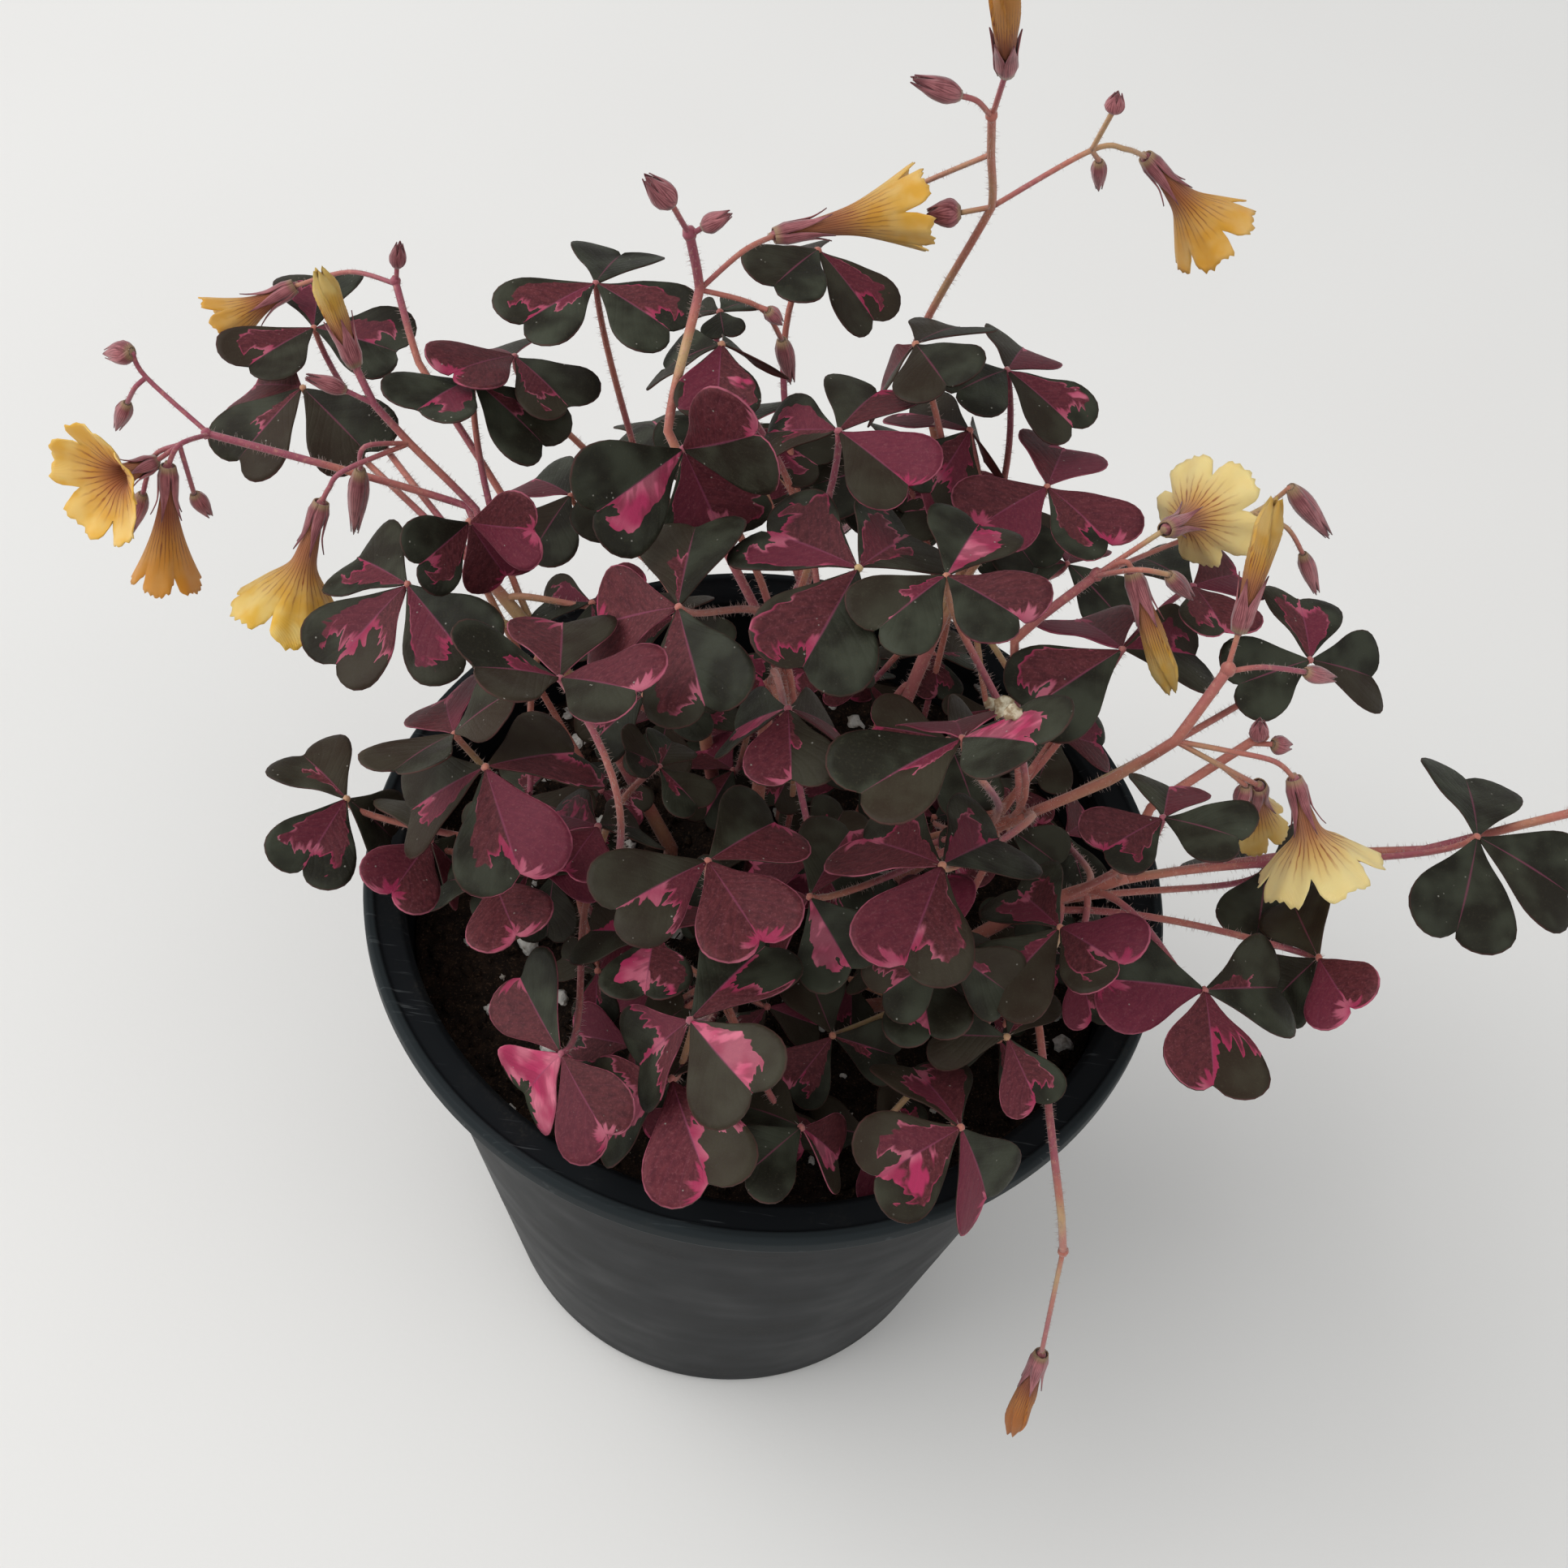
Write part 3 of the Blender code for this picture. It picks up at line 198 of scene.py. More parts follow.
leaves["back_left"] = (
    ((634, 439, 0.164), 0.014, ((612, 425), (597, 450), (668, 473)), "fnn", 5, 1, 0, "Pg PP gW"),
    ((734, 349, 0.184), 0.015, ((676, 374), (756, 317), (794, 381)), "nfn", 0, 1, 0, "wW gg Wg"),
)
leaves["back"] = (
    ((1008, 308, 0.186), 0.014, ((1058, 362), (975, 330), (977, 300)), "nnf", 0, 0.93, -0.12, "Wg gg gg"),
    ((889, 424, 0.186), 0.0125, ((838, 440), (885, 475), (922, 437)), "fnf", 2, 0.86, 0, "gg mM gg"),
    ((887, 384, 0.178), 0.007, ((870, 380), (900, 374), (890, 400)), "ffn", 0, 0.79, -0.12, "gg gg gg"),
)
leaves["middle"] = (
    ((1033, 531, 0.19), 0.0145, ((970, 524), (1089, 569), (1062, 491)), "fnf", 0, 0.72, 0, "wW Pg gP"),
    ((842, 553, 0.189), 0.0165, ((778, 603), (890, 548), (878, 633)), "nnf", 0, 1, 0, "kg Pg MM"),
    ((836, 748, 0.181), 0.0158, ((763, 757), (854, 824), (845, 675)), "fnf", 0, 1, 0, "PP gM wg"),
    ((1058, 700, 0.191), 0.0174, ((980, 660), (1014, 776), (1105, 662)), "fnf", -2, 0.93, 0, "mM gM Ww"),
    ((971, 873, 0.173), 0.0127, ((922, 887), (974, 925), (1015, 886)), "fnf", 0, 0.86, 0, "kg wP gP"),
)
leaves["back_right"] = (
    ((1128, 424, 0.182), 0.014, ((1165, 402), (1090, 466), (1150, 450)), "ffn", 5, 0.79, 0, "gg gP gg"),
    ((1241, 456, 0.178), 0.014, ((1205, 467), (1258, 430), (1297, 497)), "nfn", 0, 1, 0.12, "gg gP mg"),
    ((1195, 530, 0.172), 0.013, ((1165, 578), (1150, 515), (1203, 548)), "nff", 1, 0.93, 0.12, "WW Pg gg"),
    ((1290, 600, 0.174), 0.0147, ((1307, 560), (1245, 628), (1335, 640)), "fnn", 0, 1, 0, "PP PP PW"),
)
leaves["right"] = (
    ((1166, 710, 0.184), 0.0138, ((1122, 748), (1195, 660), (1215, 740)), "nfn", 3, 0.93, 0, "gw gk Pg"),
    ((998, 1105, 0.147), 0.0137, ((1030, 1045), (955, 1130), (1028, 1160)), "ffn", 0, 0.86, 0, "gP PP gk"),
    ((1186, 910, 0.177), 0.0168, ((1104, 947), (1178, 884), (1236, 905)), "nfn", 0, 0.79, 0, "wg PP kg"),
    ((1383, 800, 0.166), 0.0163, ((1310, 844), (1344, 765), (1451, 800)), "nff", -2, 0.72, 0, "gM PP Wg"),
    ((1161, 1066, 0.16), 0.017, ((1132, 1142), (1112, 1030), (1190, 1030)), "nff", 0, 1, 0, "WP PW Wg"),
    ((1614, 813, 0.158), 0.0138, ((1608, 757), (1560, 830), (1672, 825)), "fnf", 0, 1, 0, "WW gg gg"),
    ((1470, 722, 0.163), 0.013, ((1437, 690), (1500, 702), (1497, 752)), "ffn", -1, 0.86, -0.12, "gg PP PW"),
    ((1130, 1188, 0.138), 0.013, ((1140, 1240), (1085, 1180), (1168, 1152)), "nff", 0, 0.86, 0, "gk gP gg"),
)
leaves["far_right"] = (
    ((1433, 1008, 0.152), 0.012, ((1387, 1030), (1490, 1018), (1440, 975)), "nnf", 7, 0.79, 0, "WP gg gP"),
    ((1560, 1070, 0.13), 0.014, ((1555, 1118), (1610, 1060), (1510, 1050)), "nff", -2, 0.72, 0, "gg gg gg"),
    ((1625, 1180, 0.134), 0.0125, ((1600, 1130), (1645, 1215), (1585, 1215)), "fnf", 1, 0.65, 0, "gg PP gg"),
    ((1484, 1220, 0.141), 0.0162, ((1410, 1212), (1492, 1290), (1553, 1215)), "nnf", 0, 1, 0, "Pg TP wg"),
    ((1820, 1031, 0.145), 0.017, ((1815, 975), (1808, 1105), (1902, 1075)), "fnf", 0, 0.86, 0, "gg gg gg"),
)
leaves["front_right"] = (
    ((1306, 1143, 0.147), 0.0142, ((1252, 1197), (1348, 1165), (1266, 1105)), "nnf", 0, 0.86, 0, "gw PW WW"),
    ((1184, 1389, 0.133), 0.0157, ((1121, 1427), (1214, 1454), (1145, 1330)), "nff", 0, 0.79, 0, "mW gP WM"),
)
leaves["front"] = (
    ((872, 1061, 0.16), 0.015, ((932, 1022), (803, 1098), (908, 1120)), "fnn", 0, 0.72, 0, "gP Tg PP"),
    ((850, 1257, 0.147), 0.0154, ((911, 1191), (798, 1296), (895, 1312)), "ffn", 0, 0.65, 0, "gT TT kg"),
    ((827, 1329, 0.133), 0.0165, ((767, 1356), (855, 1412), (850, 1296)), "fnf", 0, 1, 0, "kT TP gg"),
    ((987, 1389, 0.127), 0.012, ((938, 1366), (945, 1424), (1025, 1415)), "fnf", 0, 0.72, 0, "gg gg Pk"),
    ((807, 1151, 0.141), 0.0133, ((751, 1142), (798, 1192), (835, 1120)), "fnf", -1, 0.86, 0, "gT mk PP"),
)
leaves["front_left"] = (
    ((690, 836, 0.172), 0.015, ((628, 820), (745, 838), (692, 780)), "nnf", 4, 0.65, -0.24, "gw Pg Pg"),
    ((598, 945, 0.157), 0.017, ((525, 980), (678, 925), (624, 1030)), "ffn", 0, 1, 0, "Wg gM PW"),
    ((560, 905, 0.146), 0.014, ((548, 868), (512, 925), (595, 870)), "fnn", 5, 0.65, 0, "PP gg gg"),
    ((427, 984, 0.136), 0.0138, ((389, 942), (392, 1038), (473, 1018)), "fnf", 0, 1, 0, "wg WW gg"),
    ((530, 1035, 0.134), 0.0125, ((502, 1073), (560, 1060), (520, 1002)), "nff", 1, 0.72, 0, "PP gP gg"),
    ((608, 1082, 0.134), 0.0132, ((623, 1122), (568, 1078), (650, 1058)), "nff", 4, 0.86, 0, "PP gg gg"),
    ((737, 1018, 0.146), 0.0116, ((697, 1003), (712, 1048), (775, 1015)), "fnf", 0, 0.79, 0, "Pm PP gg"),
    ((812, 945, 0.15), 0.0086, ((790, 930), (843, 973), (825, 920)), "nnf", 0, 0.65, -0.12, "wg gw wg"),
    ((692, 1298, 0.131), 0.0147, ((651, 1235), (652, 1335), (722, 1363)), "ffn", 0, 0.65, 0, "Pg KK PP"),
)

# stem, steps raised, petiole's root and bow, for the leaves at the back and the small inner ones; two of
# the inner ones find no room
backFits = (
    ("back_right", 0, 0.79, 0), ("back_right", 0, 0.93, 0), ("back_right", 3, 0.86, 0),
    ("back_right", 3, 0.79, 0), ("back", 0, 0.72, 0), ("back", 0, 0.65, 0), ("back_left", 0, 0.79, 0),
    ("back", 5, 0.93, 0), ("back_left", 3, 0.86, 0), ("back_left", -3, 0.79, 0.12),
    ("back_left", 0, 0.72, 0),
)
innerFits = (
    ("right", 0, 0.93, 0), ("middle", -7, 0.93, -0.12), ("middle", 0, 0.86, 0), ("right", -6, 0.79, 0.12),
    ("front_left", -2, 0.72, 0), ("front_right", 0, 0.65, 0), ("middle", 0, 1, 0), ("front", -1, 0.93, 0),
    ("right", 8, 0.86, 0), ("middle", 12, 0.79, 0), ("front_right", 2, 0.65, 0),
    ("back_right", 0, 0.65, 0.12), ("front_left", 0, 0.65, 0), None, ("middle", -6, 1, 0),
    ("front", -12, 0.72, 0), ("right", -3, 0.72, 0), ("left", 10, 0.65, 0), ("front_right", 6, 1, 0),
    ("back", 5, 0.93, 0), ("front", -2, 0.86, 0), ("right", 0, 0.79, 0), ("left", 5, 0.72, 0),
    ("front_right", 0, 0.65, 0), ("back_right", -12, 1, 0), ("front_left", -10, 0.86, 0),
    ("far_right", -3, 0.79, 0), ("back", -4, 0.79, 0), ("front", -5, 0.65, 0), ("right", -2, 0.65, 0),
    ("left", 0, 1, 0), ("front_right", 5, 0.93, 0), ("back_right", -4, 0.86, 0),
    ("front_left", 0, 0.79, 0), ("far_right", -5, 0.72, 0), ("back_left", 0, 0.65, 0),
    ("front", -6, 0.79, 0), ("back_right", 1, 0.93, 0), ("front_left", -3, 0.86, 0),
    ("far_right", -5, 0.79, 0), None, ("front", 1, 0.65, 0), ("far_right", 0, 1, 0), ("left", 12, 0.93, 0),
    ("front_right", -7, 0.86, 0), ("back_right", 0, 0.65, 0), ("front_left", 1, 0.72, 0),
    ("far_right", 0, 1, 0), ("back_left", -4, 1, 0), ("front", 0, 0.93, 0), ("back_right", 10, 0.86, 0),
    ("left", 5, 0.79, 0), ("front_right", 10, 0.72, 0), ("back", -1, 0.65, 0),
)

# stem it springs from, radius, then a pixel and a height for each point
stalks = (
    ("back_right", 0.0006, ((1128, 424, 0.174), (1222, 255, 0.203), (1221, 190, 0.214),
     (1222, 145, 0.222))),
    ("middle", 0.0007, ((823, 531, 0.182), (862, 357, 0.196), (850, 290, 0.206))),
    ("left", 0.0006, ((587, 628, 0.157), (505, 546, 0.165), (461, 498, 0.17), (439, 454, 0.174))),
    ("left", 0.0006, ((576, 624, 0.155), (413, 576, 0.158), (258, 535, 0.161))),
    ("left", 0.0006, ((631, 631, 0.15), (516, 447, 0.162), (488, 350, 0.17))),
    ("right", 0.0007, ((1250, 790, 0.161), (1348, 710, 0.172))),
    ("right", 0.0008, ((1366, 962, 0.152), (1448, 913, 0.162), (1511, 828, 0.171))),
    ("far_right", 0.0007, ((1418, 995, 0.15), (1551, 908, 0.158))),
    ("far_right", 0.0007, ((1600, 1052, 0.128), (1755, 1047, 0.136), (1880, 1015, 0.141),
     (1975, 992, 0.145))),
    ("front_right", 0.0006, ((1275, 1235, 0.128), (1288, 1330, 0.124), (1299, 1425, 0.12),
     (1308, 1500, 0.11), (1310, 1540, 0.1))),
)

# stem it grows on, greatest radius, then the points of its pedicel, the last one at the bud's tip
buds = (
    ("back_right", 0.0017, ((1222, 145, 0.222), (1205, 125, 0.226), (1182, 118, 0.227), (1125, 98, 0.231))),
    ("back_right", 0.0016, ((1221, 190, 0.214), (1127, 230, 0.199), (1098, 250, 0.194),
     (1060, 262, 0.188))),
    ("back_right", 0.0023, ((1222, 255, 0.203), (1184, 262, 0.201), (1142, 264, 0.2))),
    ("back_right", 0.0015, ((1345, 185, 0.21), (1371, 138, 0.218), (1378, 115, 0.221))),
    ("back_right", 0.0012, ((1345, 185, 0.21), (1354, 198, 0.207), (1354, 232, 0.201))),
    ("middle", 0.002, ((850, 290, 0.206), (828, 252, 0.213), (796, 218, 0.218))),
    ("middle", 0.0014, ((850, 290, 0.206), (866, 280, 0.208), (900, 263, 0.211))),
    ("middle", 0.0015, ((862, 357, 0.196), (935, 378, 0.193), (963, 418, 0.185), (975, 470, 0.176))),
    ("middle", 0.0012, ((935, 378, 0.193), (946, 382, 0.193), (962, 398, 0.19))),
    ("left", 0.0013, ((461, 498, 0.17), (426, 481, 0.172), (377, 464, 0.175))),
    ("left", 0.0018, ((505, 546, 0.165), (450, 550, 0.167), (444, 578, 0.162), (437, 655, 0.148))),
    ("left", 0.002, ((258, 535, 0.161), (180, 465, 0.166), (163, 434, 0.17), (130, 436, 0.168))),
    ("left", 0.0014, ((180, 465, 0.166), (166, 478, 0.165), (157, 496, 0.161), (144, 528, 0.155))),
    ("left", 0.0014, ((221, 548, 0.164), (239, 608, 0.152), (259, 635, 0.147))),
    ("left", 0.0015, ((221, 548, 0.164), (190, 562, 0.16), (176, 608, 0.153), (161, 654, 0.145))),
    ("left", 0.0014, ((488, 350, 0.17), (489, 328, 0.173), (492, 300, 0.178))),
    ("right", 0.0014, ((1348, 710, 0.172), (1400, 702, 0.179), (1440, 708, 0.178), (1468, 736, 0.172))),
    ("right", 0.0019, ((1348, 710, 0.172), (1440, 672, 0.164), (1544, 632, 0.163), (1590, 600, 0.168),
     (1637, 660, 0.158))),
    ("right", 0.0014, ((1544, 632, 0.163), (1585, 650, 0.162), (1605, 682, 0.157), (1622, 730, 0.149))),
    ("right", 0.0013, ((1511, 828, 0.171), (1555, 822, 0.172), (1608, 828, 0.17), (1644, 836, 0.167))),
    ("right", 0.0014, ((1507, 945, 0.158), (1535, 968, 0.153), (1524, 1000, 0.147))),
    ("far_right", 0.0015, ((1540, 916, 0.157), (1550, 910, 0.158), (1553, 888, 0.162))),
    ("far_right", 0.0015, ((1540, 916, 0.157), (1568, 917, 0.158), (1590, 919, 0.157))),
)

# name, stem, radius of the mouth (0 while rolled up), points of the pedicel, the middle of the mouth, then
# its age, from pale, below 0, to yellow, orange and withered
flowers = (
    ("top", "back_right", 0, ((1222, 145, 0.222), (1240, 88, 0.231)), (1238, -35, 0.249), 0.6),
    ("back_right", "back_right", 0.007, ((1222, 255, 0.203), (1345, 185, 0.21), (1388, 184, 0.21),
     (1412, 194, 0.206)), (1495, 290, 0.194), 0.3),
    ("back", "middle", 0.0062, ((862, 357, 0.196), (915, 310, 0.202), (955, 290, 0.201)),
     (1130, 256, 0.203), 0.2),
    ("rolled_left", "left", 0, ((461, 498, 0.17), (437, 448, 0.175)), (395, 337, 0.189), 0),
    ("left", "left", 0.009, ((505, 546, 0.165), (424, 580, 0.165), (405, 602, 0.162), (396, 620, 0.159)),
     (356, 758, 0.141), 0),
    ("behind_left", "left", 0.0056, ((488, 350, 0.17), (430, 335, 0.168), (362, 353, 0.161)),
     (273, 402, 0.156), 0.3),
    ("far_left", "left", 0.0094, ((221, 548, 0.164), (190, 570, 0.16)), (118, 598, 0.163), 0.12),
    ("far_left_low", "left", 0.0054, ((258, 535, 0.161), (221, 548, 0.164), (207, 575, 0.16)),
     (206, 714, 0.142), 0.55),
    ("right_high", "right", 0.0085, ((1348, 710, 0.172), (1436, 652, 0.178)), (1490, 630, 0.172), -0.7),
    ("rolled_right", "right", 0, ((1511, 828, 0.171), (1527, 776, 0.176)), (1571, 620, 0.193), 0.15),
    ("rolled_right_low", "right", 0, ((1348, 710, 0.172), (1385, 692, 0.177), (1396, 706, 0.175)),
     (1442, 848, 0.161), 0.05),
    ("right", "right", 0.0092, ((1448, 913, 0.162), (1507, 924, 0.161), (1570, 938, 0.16),
     (1595, 960, 0.156)), (1625, 1075, 0.144), -0.75),
    ("behind_right", "right", 0.0052, ((1448, 913, 0.162), (1507, 945, 0.158), (1551, 968, 0.152)),
     (1545, 1015, 0.138), -0.3),
    ("hanging", "front_right", 0, ((1310, 1540, 0.1), (1283, 1668, 0.072)), (1247, 1762, 0.053), 0.84),
)

# share of the half leaflet that is plum near the hub, then near the tip, where it changes, and how pink it is
patchKinds = {
    "g": (-0.5, -0.5, 0.50, 0.0),
    "w": (0.26, -0.1, 0.62, 0.15),
    "W": (0.62, 0.10, 0.72, 0.15),
    "M": (0.84, 0.20, 0.80, 0.25),
    "P": (1.50, 1.50, 0.90, 0.10),
    "T": (1.40, 0.12, 0.50, 0.15),
    "m": (0.80, 0.25, 0.76, 0.60),
    "k": (0.55, 0.20, 0.80, 0.85),
    "K": (1.40, -0.20, 0.80, 0.90),
}
hiddenPatches = ("gW wg PP", "Pg gg wW", "gg WP gw", "MP gW gg")


def circle(turn):
    # cosine and sine at a share of a whole turn
    return math.cos(math.tau * turn), math.sin(math.tau * turn)


def frameAlong(direction):
    # two directions square to this one and to each other
    guide = Vector((0, 0, 1)) if abs(direction.z) < 0.9 else Vector((1, 0, 0))
    first = guide.cross(direction).normalized()
    return first, direction.cross(first)


def tubeRings(path, radii, sides):
    # a ring of points round each point of a path, without any twist between them
    rings = []
    first = frameAlong((path[1] - path[0]).normalized())[0]
    for i, point in enumerate(path):
        ahead = path[min(i + 1, len(path) - 1)]
        behind = path[max(i - 1, 0)]
        turned = (ahead - behind).normalized()
        first = (first - turned * first.dot(turned)).normalized()
        second = turned.cross(first)
        ring = []
        for side in range(sides):
            angle = math.tau * side / sides
            ring.append(point + (first * math.cos(angle) + second * math.sin(angle)) * radii[i])
        rings.append(ring)
    return rings


def smoothPath(corners, steps):
    # a Catmull-Rom curve through the corners, with this many steps from one to the next
    path = [corners[0]]
    for i in range(len(corners) - 1):
        before = corners[max(i - 1, 0)]
        after = corners[min(i + 2, len(corners) - 1)]
        start, end = corners[i], corners[i + 1]
        leaving = (end - before) / 2
        arriving = (after - start) / 2
        for step in range(1, steps + 1):
            t = step / steps
            path.append(
                start * (2 * t**3 - 3 * t**2 + 1)
                + leaving * (t**3 - 2 * t**2 + t)
                + end * (3 * t**2 - 2 * t**3)
                + arriving * (t**3 - t**2)
            )
    return path


def stemPath(name, steps=2):
    # from its foot in the soil up through its neck, then in a bow to its tip
    (footX, footY), tip = stems[name]
    foot = Vector((footX, footY, soilSize["top"]))
    tip = Vector(tip)
    neck = foot + Vector((0, 0, stemSize["neck"]))
    middle = neck.lerp(tip, 0.5)
    middle.z += stemSize["bow"] * (tip.xy - foot.xy).length
    return [foot - Vector((0, 0, stemSize["sunk"]))] + smoothPath([neck, middle, tip], steps)


def alongPath(path, share):
    # the place at a share of the path's length, and its direction there
    lengths = [(b - a).length for a, b in zip(path, path[1:])]
    left = share * sum(lengths)
    for (a, b), length in zip(zip(path, path[1:]), lengths):
        if left <= length:
            break
        left -= length
    direction = (b - a).normalized()
    return a + direction * min(left, length), direction


def stalkPath(name, points, steps):
    # from near the stem's tip through its seen points; a real stalk is almost straight between its knots
    root = alongPath(stemPath(name), stemSize["stalkRoot"])[0]
    path = smoothPath([root] + [seenAt(*point) for point in points], steps)
    path[-1] += (path[-1] - path[-2]).normalized() * stemSize["knot"]
    corners = path[::steps]
    drawn = []
    for i, bent in enumerate(path):
        before, after = corners[i // steps], corners[min(i // steps + 1, len(corners) - 1)]
        drawn.append(bent.lerp(before.lerp(after, i % steps / steps), stemSize["straight"]))
    return drawn


def petiolePath(leaf, steps):
    # a Bezier curve that leaves along the stem and meets the hub from below
    (root, direction), hub = leaf["root"], leaf["hub"]
    span = hub - root
    side = span.cross(Vector((0, 0, 1))).normalized()
    leaving = root + (direction * petioleSize["rise"] + span.normalized() * petioleSize["lean"]) * span.length
    arriving = hub - leaf["facing"] * span.length * petioleSize["arrival"]
    middle = side * span.length * leaf["bow"]
    path = []
    for step in range(steps + 1):
        t = step / steps
        path.append(
            root * (1 - t) ** 3
            + (leaving + middle) * 3 * t * (1 - t) ** 2
            + (arriving + middle) * 3 * t * t * (1 - t)
            + hub * t**3
        )
    return path


def flowerAxis(foot, mouth):
    # where a flower starts, which way it points and how long it is
    start, end = seenAt(*foot), seenAt(*mouth)
    return start, (end - start).normalized(), (end - start).length


def wallRadius(height):
    # the outer radius of the pot's wall
    under = potSize["height"] - potSize["rimDepth"]
    top = potSize["rimRadius"] - potSize["rimFlat"]
    return potSize["baseRadius"] + (top - potSize["baseRadius"]) * height / under


def spreadApart(axes):
    # turns the leaflets away from each other until no two are too close; twelve rounds are enough
    for _ in range(12):
        for i, j in ((0, 1), (1, 2), (2, 0)):
            lacking = leafSize["leastSpread"] - axes[i].angle(axes[j])
            if lacking > 0:
                pivot = axes[i].cross(axes[j]).normalized()
                axes[i] = Matrix.Rotation(-lacking / 2, 3, pivot) @ axes[i]
                axes[j] = Matrix.Rotation(lacking / 2, 3, pivot) @ axes[j]
    return axes


def makeLeaf(hub, axes, sizes):
    # its hub, the directions and lengths of its leaflets, and the way that its hub looks
    upwards, lit, outwards = leafSize["facing"]
    outward = Vector((hub.x, hub.y, 0)).normalized()
    wanted = (Vector((0, 0, upwards)) + sightBack * lit + outward * outwards).normalized()
    axes = spreadApart(axes)
    facing = axes[0].cross(axes[1]) + axes[1].cross(axes[2]) + axes[2].cross(axes[0])
    if facing.dot(wanted) < 0:
        facing = -facing
    facing = (facing.normalized() + wanted * leafSize["facingShare"]).normalized()
    return {"hub": hub, "axes": axes, "sizes": sizes, "facing": facing}


def seenLeaf(hub, length, middles, ways, rise):
    # each leaflet lies so that its middle shows at its pixel
    pixelX, pixelY, height = hub
    hub = seenAt(pixelX, pixelY, height + rise)
    ray = (eye - hub).normalized()
    axes, sizes = [], []
    for middle, way in zip(middles, ways):
        seen = seenAt(*middle, hub.z) - hub
        flat = seen - ray * seen.dot(ray)
        reach = max(length * leafSize["middleSeen"], flat.length * leafSize["leastDepth"])
        depth = math.sqrt(reach**2 - flat.length**2)
        axes.append((flat + ray * depth if way == "n" else flat - ray * depth).normalized())
        sizes.append(reach / leafSize["middleSeen"])
    return makeLeaf(hub, axes, sizes)


def evenLeaf(hub, angle, turn, tilt, length):
    # three leaflets at even turns round their hub
    outward = Vector((math.cos(angle), math.sin(angle), 0))
    sideways = Vector((-outward.y, outward.x, 0))
    axes = []
    for third in range(3):
        bearing = turn + third * math.tau / 3
        axis = outward * math.cos(bearing) + sideways * math.sin(bearing)
        axis.z = leafSize["droop"] - tilt * math.cos(bearing)
        axes.append(axis.normalized())
    return makeLeaf(hub, axes, [length] * 3)


def backLeaf(index, rise, draw):
    # a leaf on the far side: even steps round the back, with a little scatter
    size = backLeaves
    start, end = size["spread"]
    angle = start + (end - start) * (index + 0.5) / len(backFits)
    scatterOut, scatterUp = size["scatter"]
    radius = size["radius"][0 if index % 2 else 1]
    radius += draw.uniform(-scatterOut, scatterOut)
    height = size["height"][1 if index % 2 else 0]
    height += draw.uniform(-scatterUp, scatterUp) + rise
    hub = Vector((radius * math.cos(angle), radius * math.sin(angle), height))
    turn = draw.uniform(-size["turn"], size["turn"])
    return evenLeaf(hub, angle, turn, size["tilt"], size["length"] * draw.uniform(*size["grown"]))


def innerLeaf(number, rise):
    # a young leaf inside the plant, turned and tilted at random
    size = innerLeaves
    draw = random.Random(size["seed"] + number)
    angle = number * math.pi * (3 - math.sqrt(5))
    radius = size["radius"] * math.sqrt((number + 0.5) / len(innerFits))
    middleX, middleY = size["middle"]
    height = draw.uniform(*size["height"]) + rise
    hub = Vector((middleX + radius * math.cos(angle), middleY + radius * math.sin(angle), height))
    turn, length = draw.uniform(0, math.tau), draw.uniform(*size["length"])
    return evenLeaf(hub, angle, turn, size["tilt"], length)


def layOut():
    # every leaf: those that the picture shows, then those at the back, then the inner ones
    found = []

    def keep(leaf, name, share, bow, patches):
        root = alongPath(stemPath(name), share)
        found.append({**leaf, "stem": name, "root": root, "bow": bow, "patches": patches})

    for name, rows in leaves.items():
        for hub, length, middles, ways, shift, share, bow, patches in rows:
            keep(seenLeaf(hub, length, middles, ways, shift * leafSize["shift"]), name, share, bow, patches)
    for index, (name, shift, share, bow) in enumerate(backFits):
        seed = backLeaves["seed"] + index
        leaf = backLeaf(index, shift * leafSize["shift"], random.Random(seed))
        keep(leaf, name, share, bow, random.Random(seed).choice(hiddenPatches))
    for number, fit in enumerate(innerFits):
        if fit:
            name, shift, share, bow = fit
            leaf = innerLeaf(number, shift * leafSize["shift"])
            keep(leaf, name, share, bow, random.Random(number).choice(hiddenPatches))
    return found


placed = layOut()
print("sorrel:", len(placed), "leaves placed")


# small helpers for meshes: a part is some points and the sheets of faces on them; a sheet's finish is the
# place of its material in the piece's list
def gridFaces(rows, columns, closed=False):
    # the squares of a grid of points; closed joins its last column to its first
    row = np.arange(rows - 1)[:, None] * columns
    column = np.arange(columns if closed else columns - 1)[None, :]
    after = (column + 1) % columns
    corners = (row + column, row + after, row + columns + after, row + columns + column)
    return np.stack(corners, -1).reshape(-1, 4)


def fanFaces(centre, ring, flip):
    # triangles from one point to a closed ring of points
    after = np.roll(ring, -1)
    middle = np.full(len(ring), centre)
    return np.stack([middle, after, ring] if flip else [middle, ring, after], -1)


def rimFaces(border, count):
    # squares from the border of one sheet to that of its other side, whose points come count later
    after = np.roll(border, -1)
    return np.stack([border, border + count, after + count, after], -1)


def ringedPart(points, sides, finish=0, flip=False, layers=None):
    # a closed part: rings of points, then the middle of its first end and of its last one
    count = len(points) - 2
    ring = np.arange(sides)
    squares = gridFaces(count // sides, sides, closed=True)
    ends = [fanFaces(count, ring, not flip), fanFaces(count + 1, ring + count - sides, flip)]
    faces = [squares[:, ::-1] if flip else squares] + ends
    return {"points": points, "sheets": [{"faces": faces, "finish": finish, "uv": layers or {}}]}


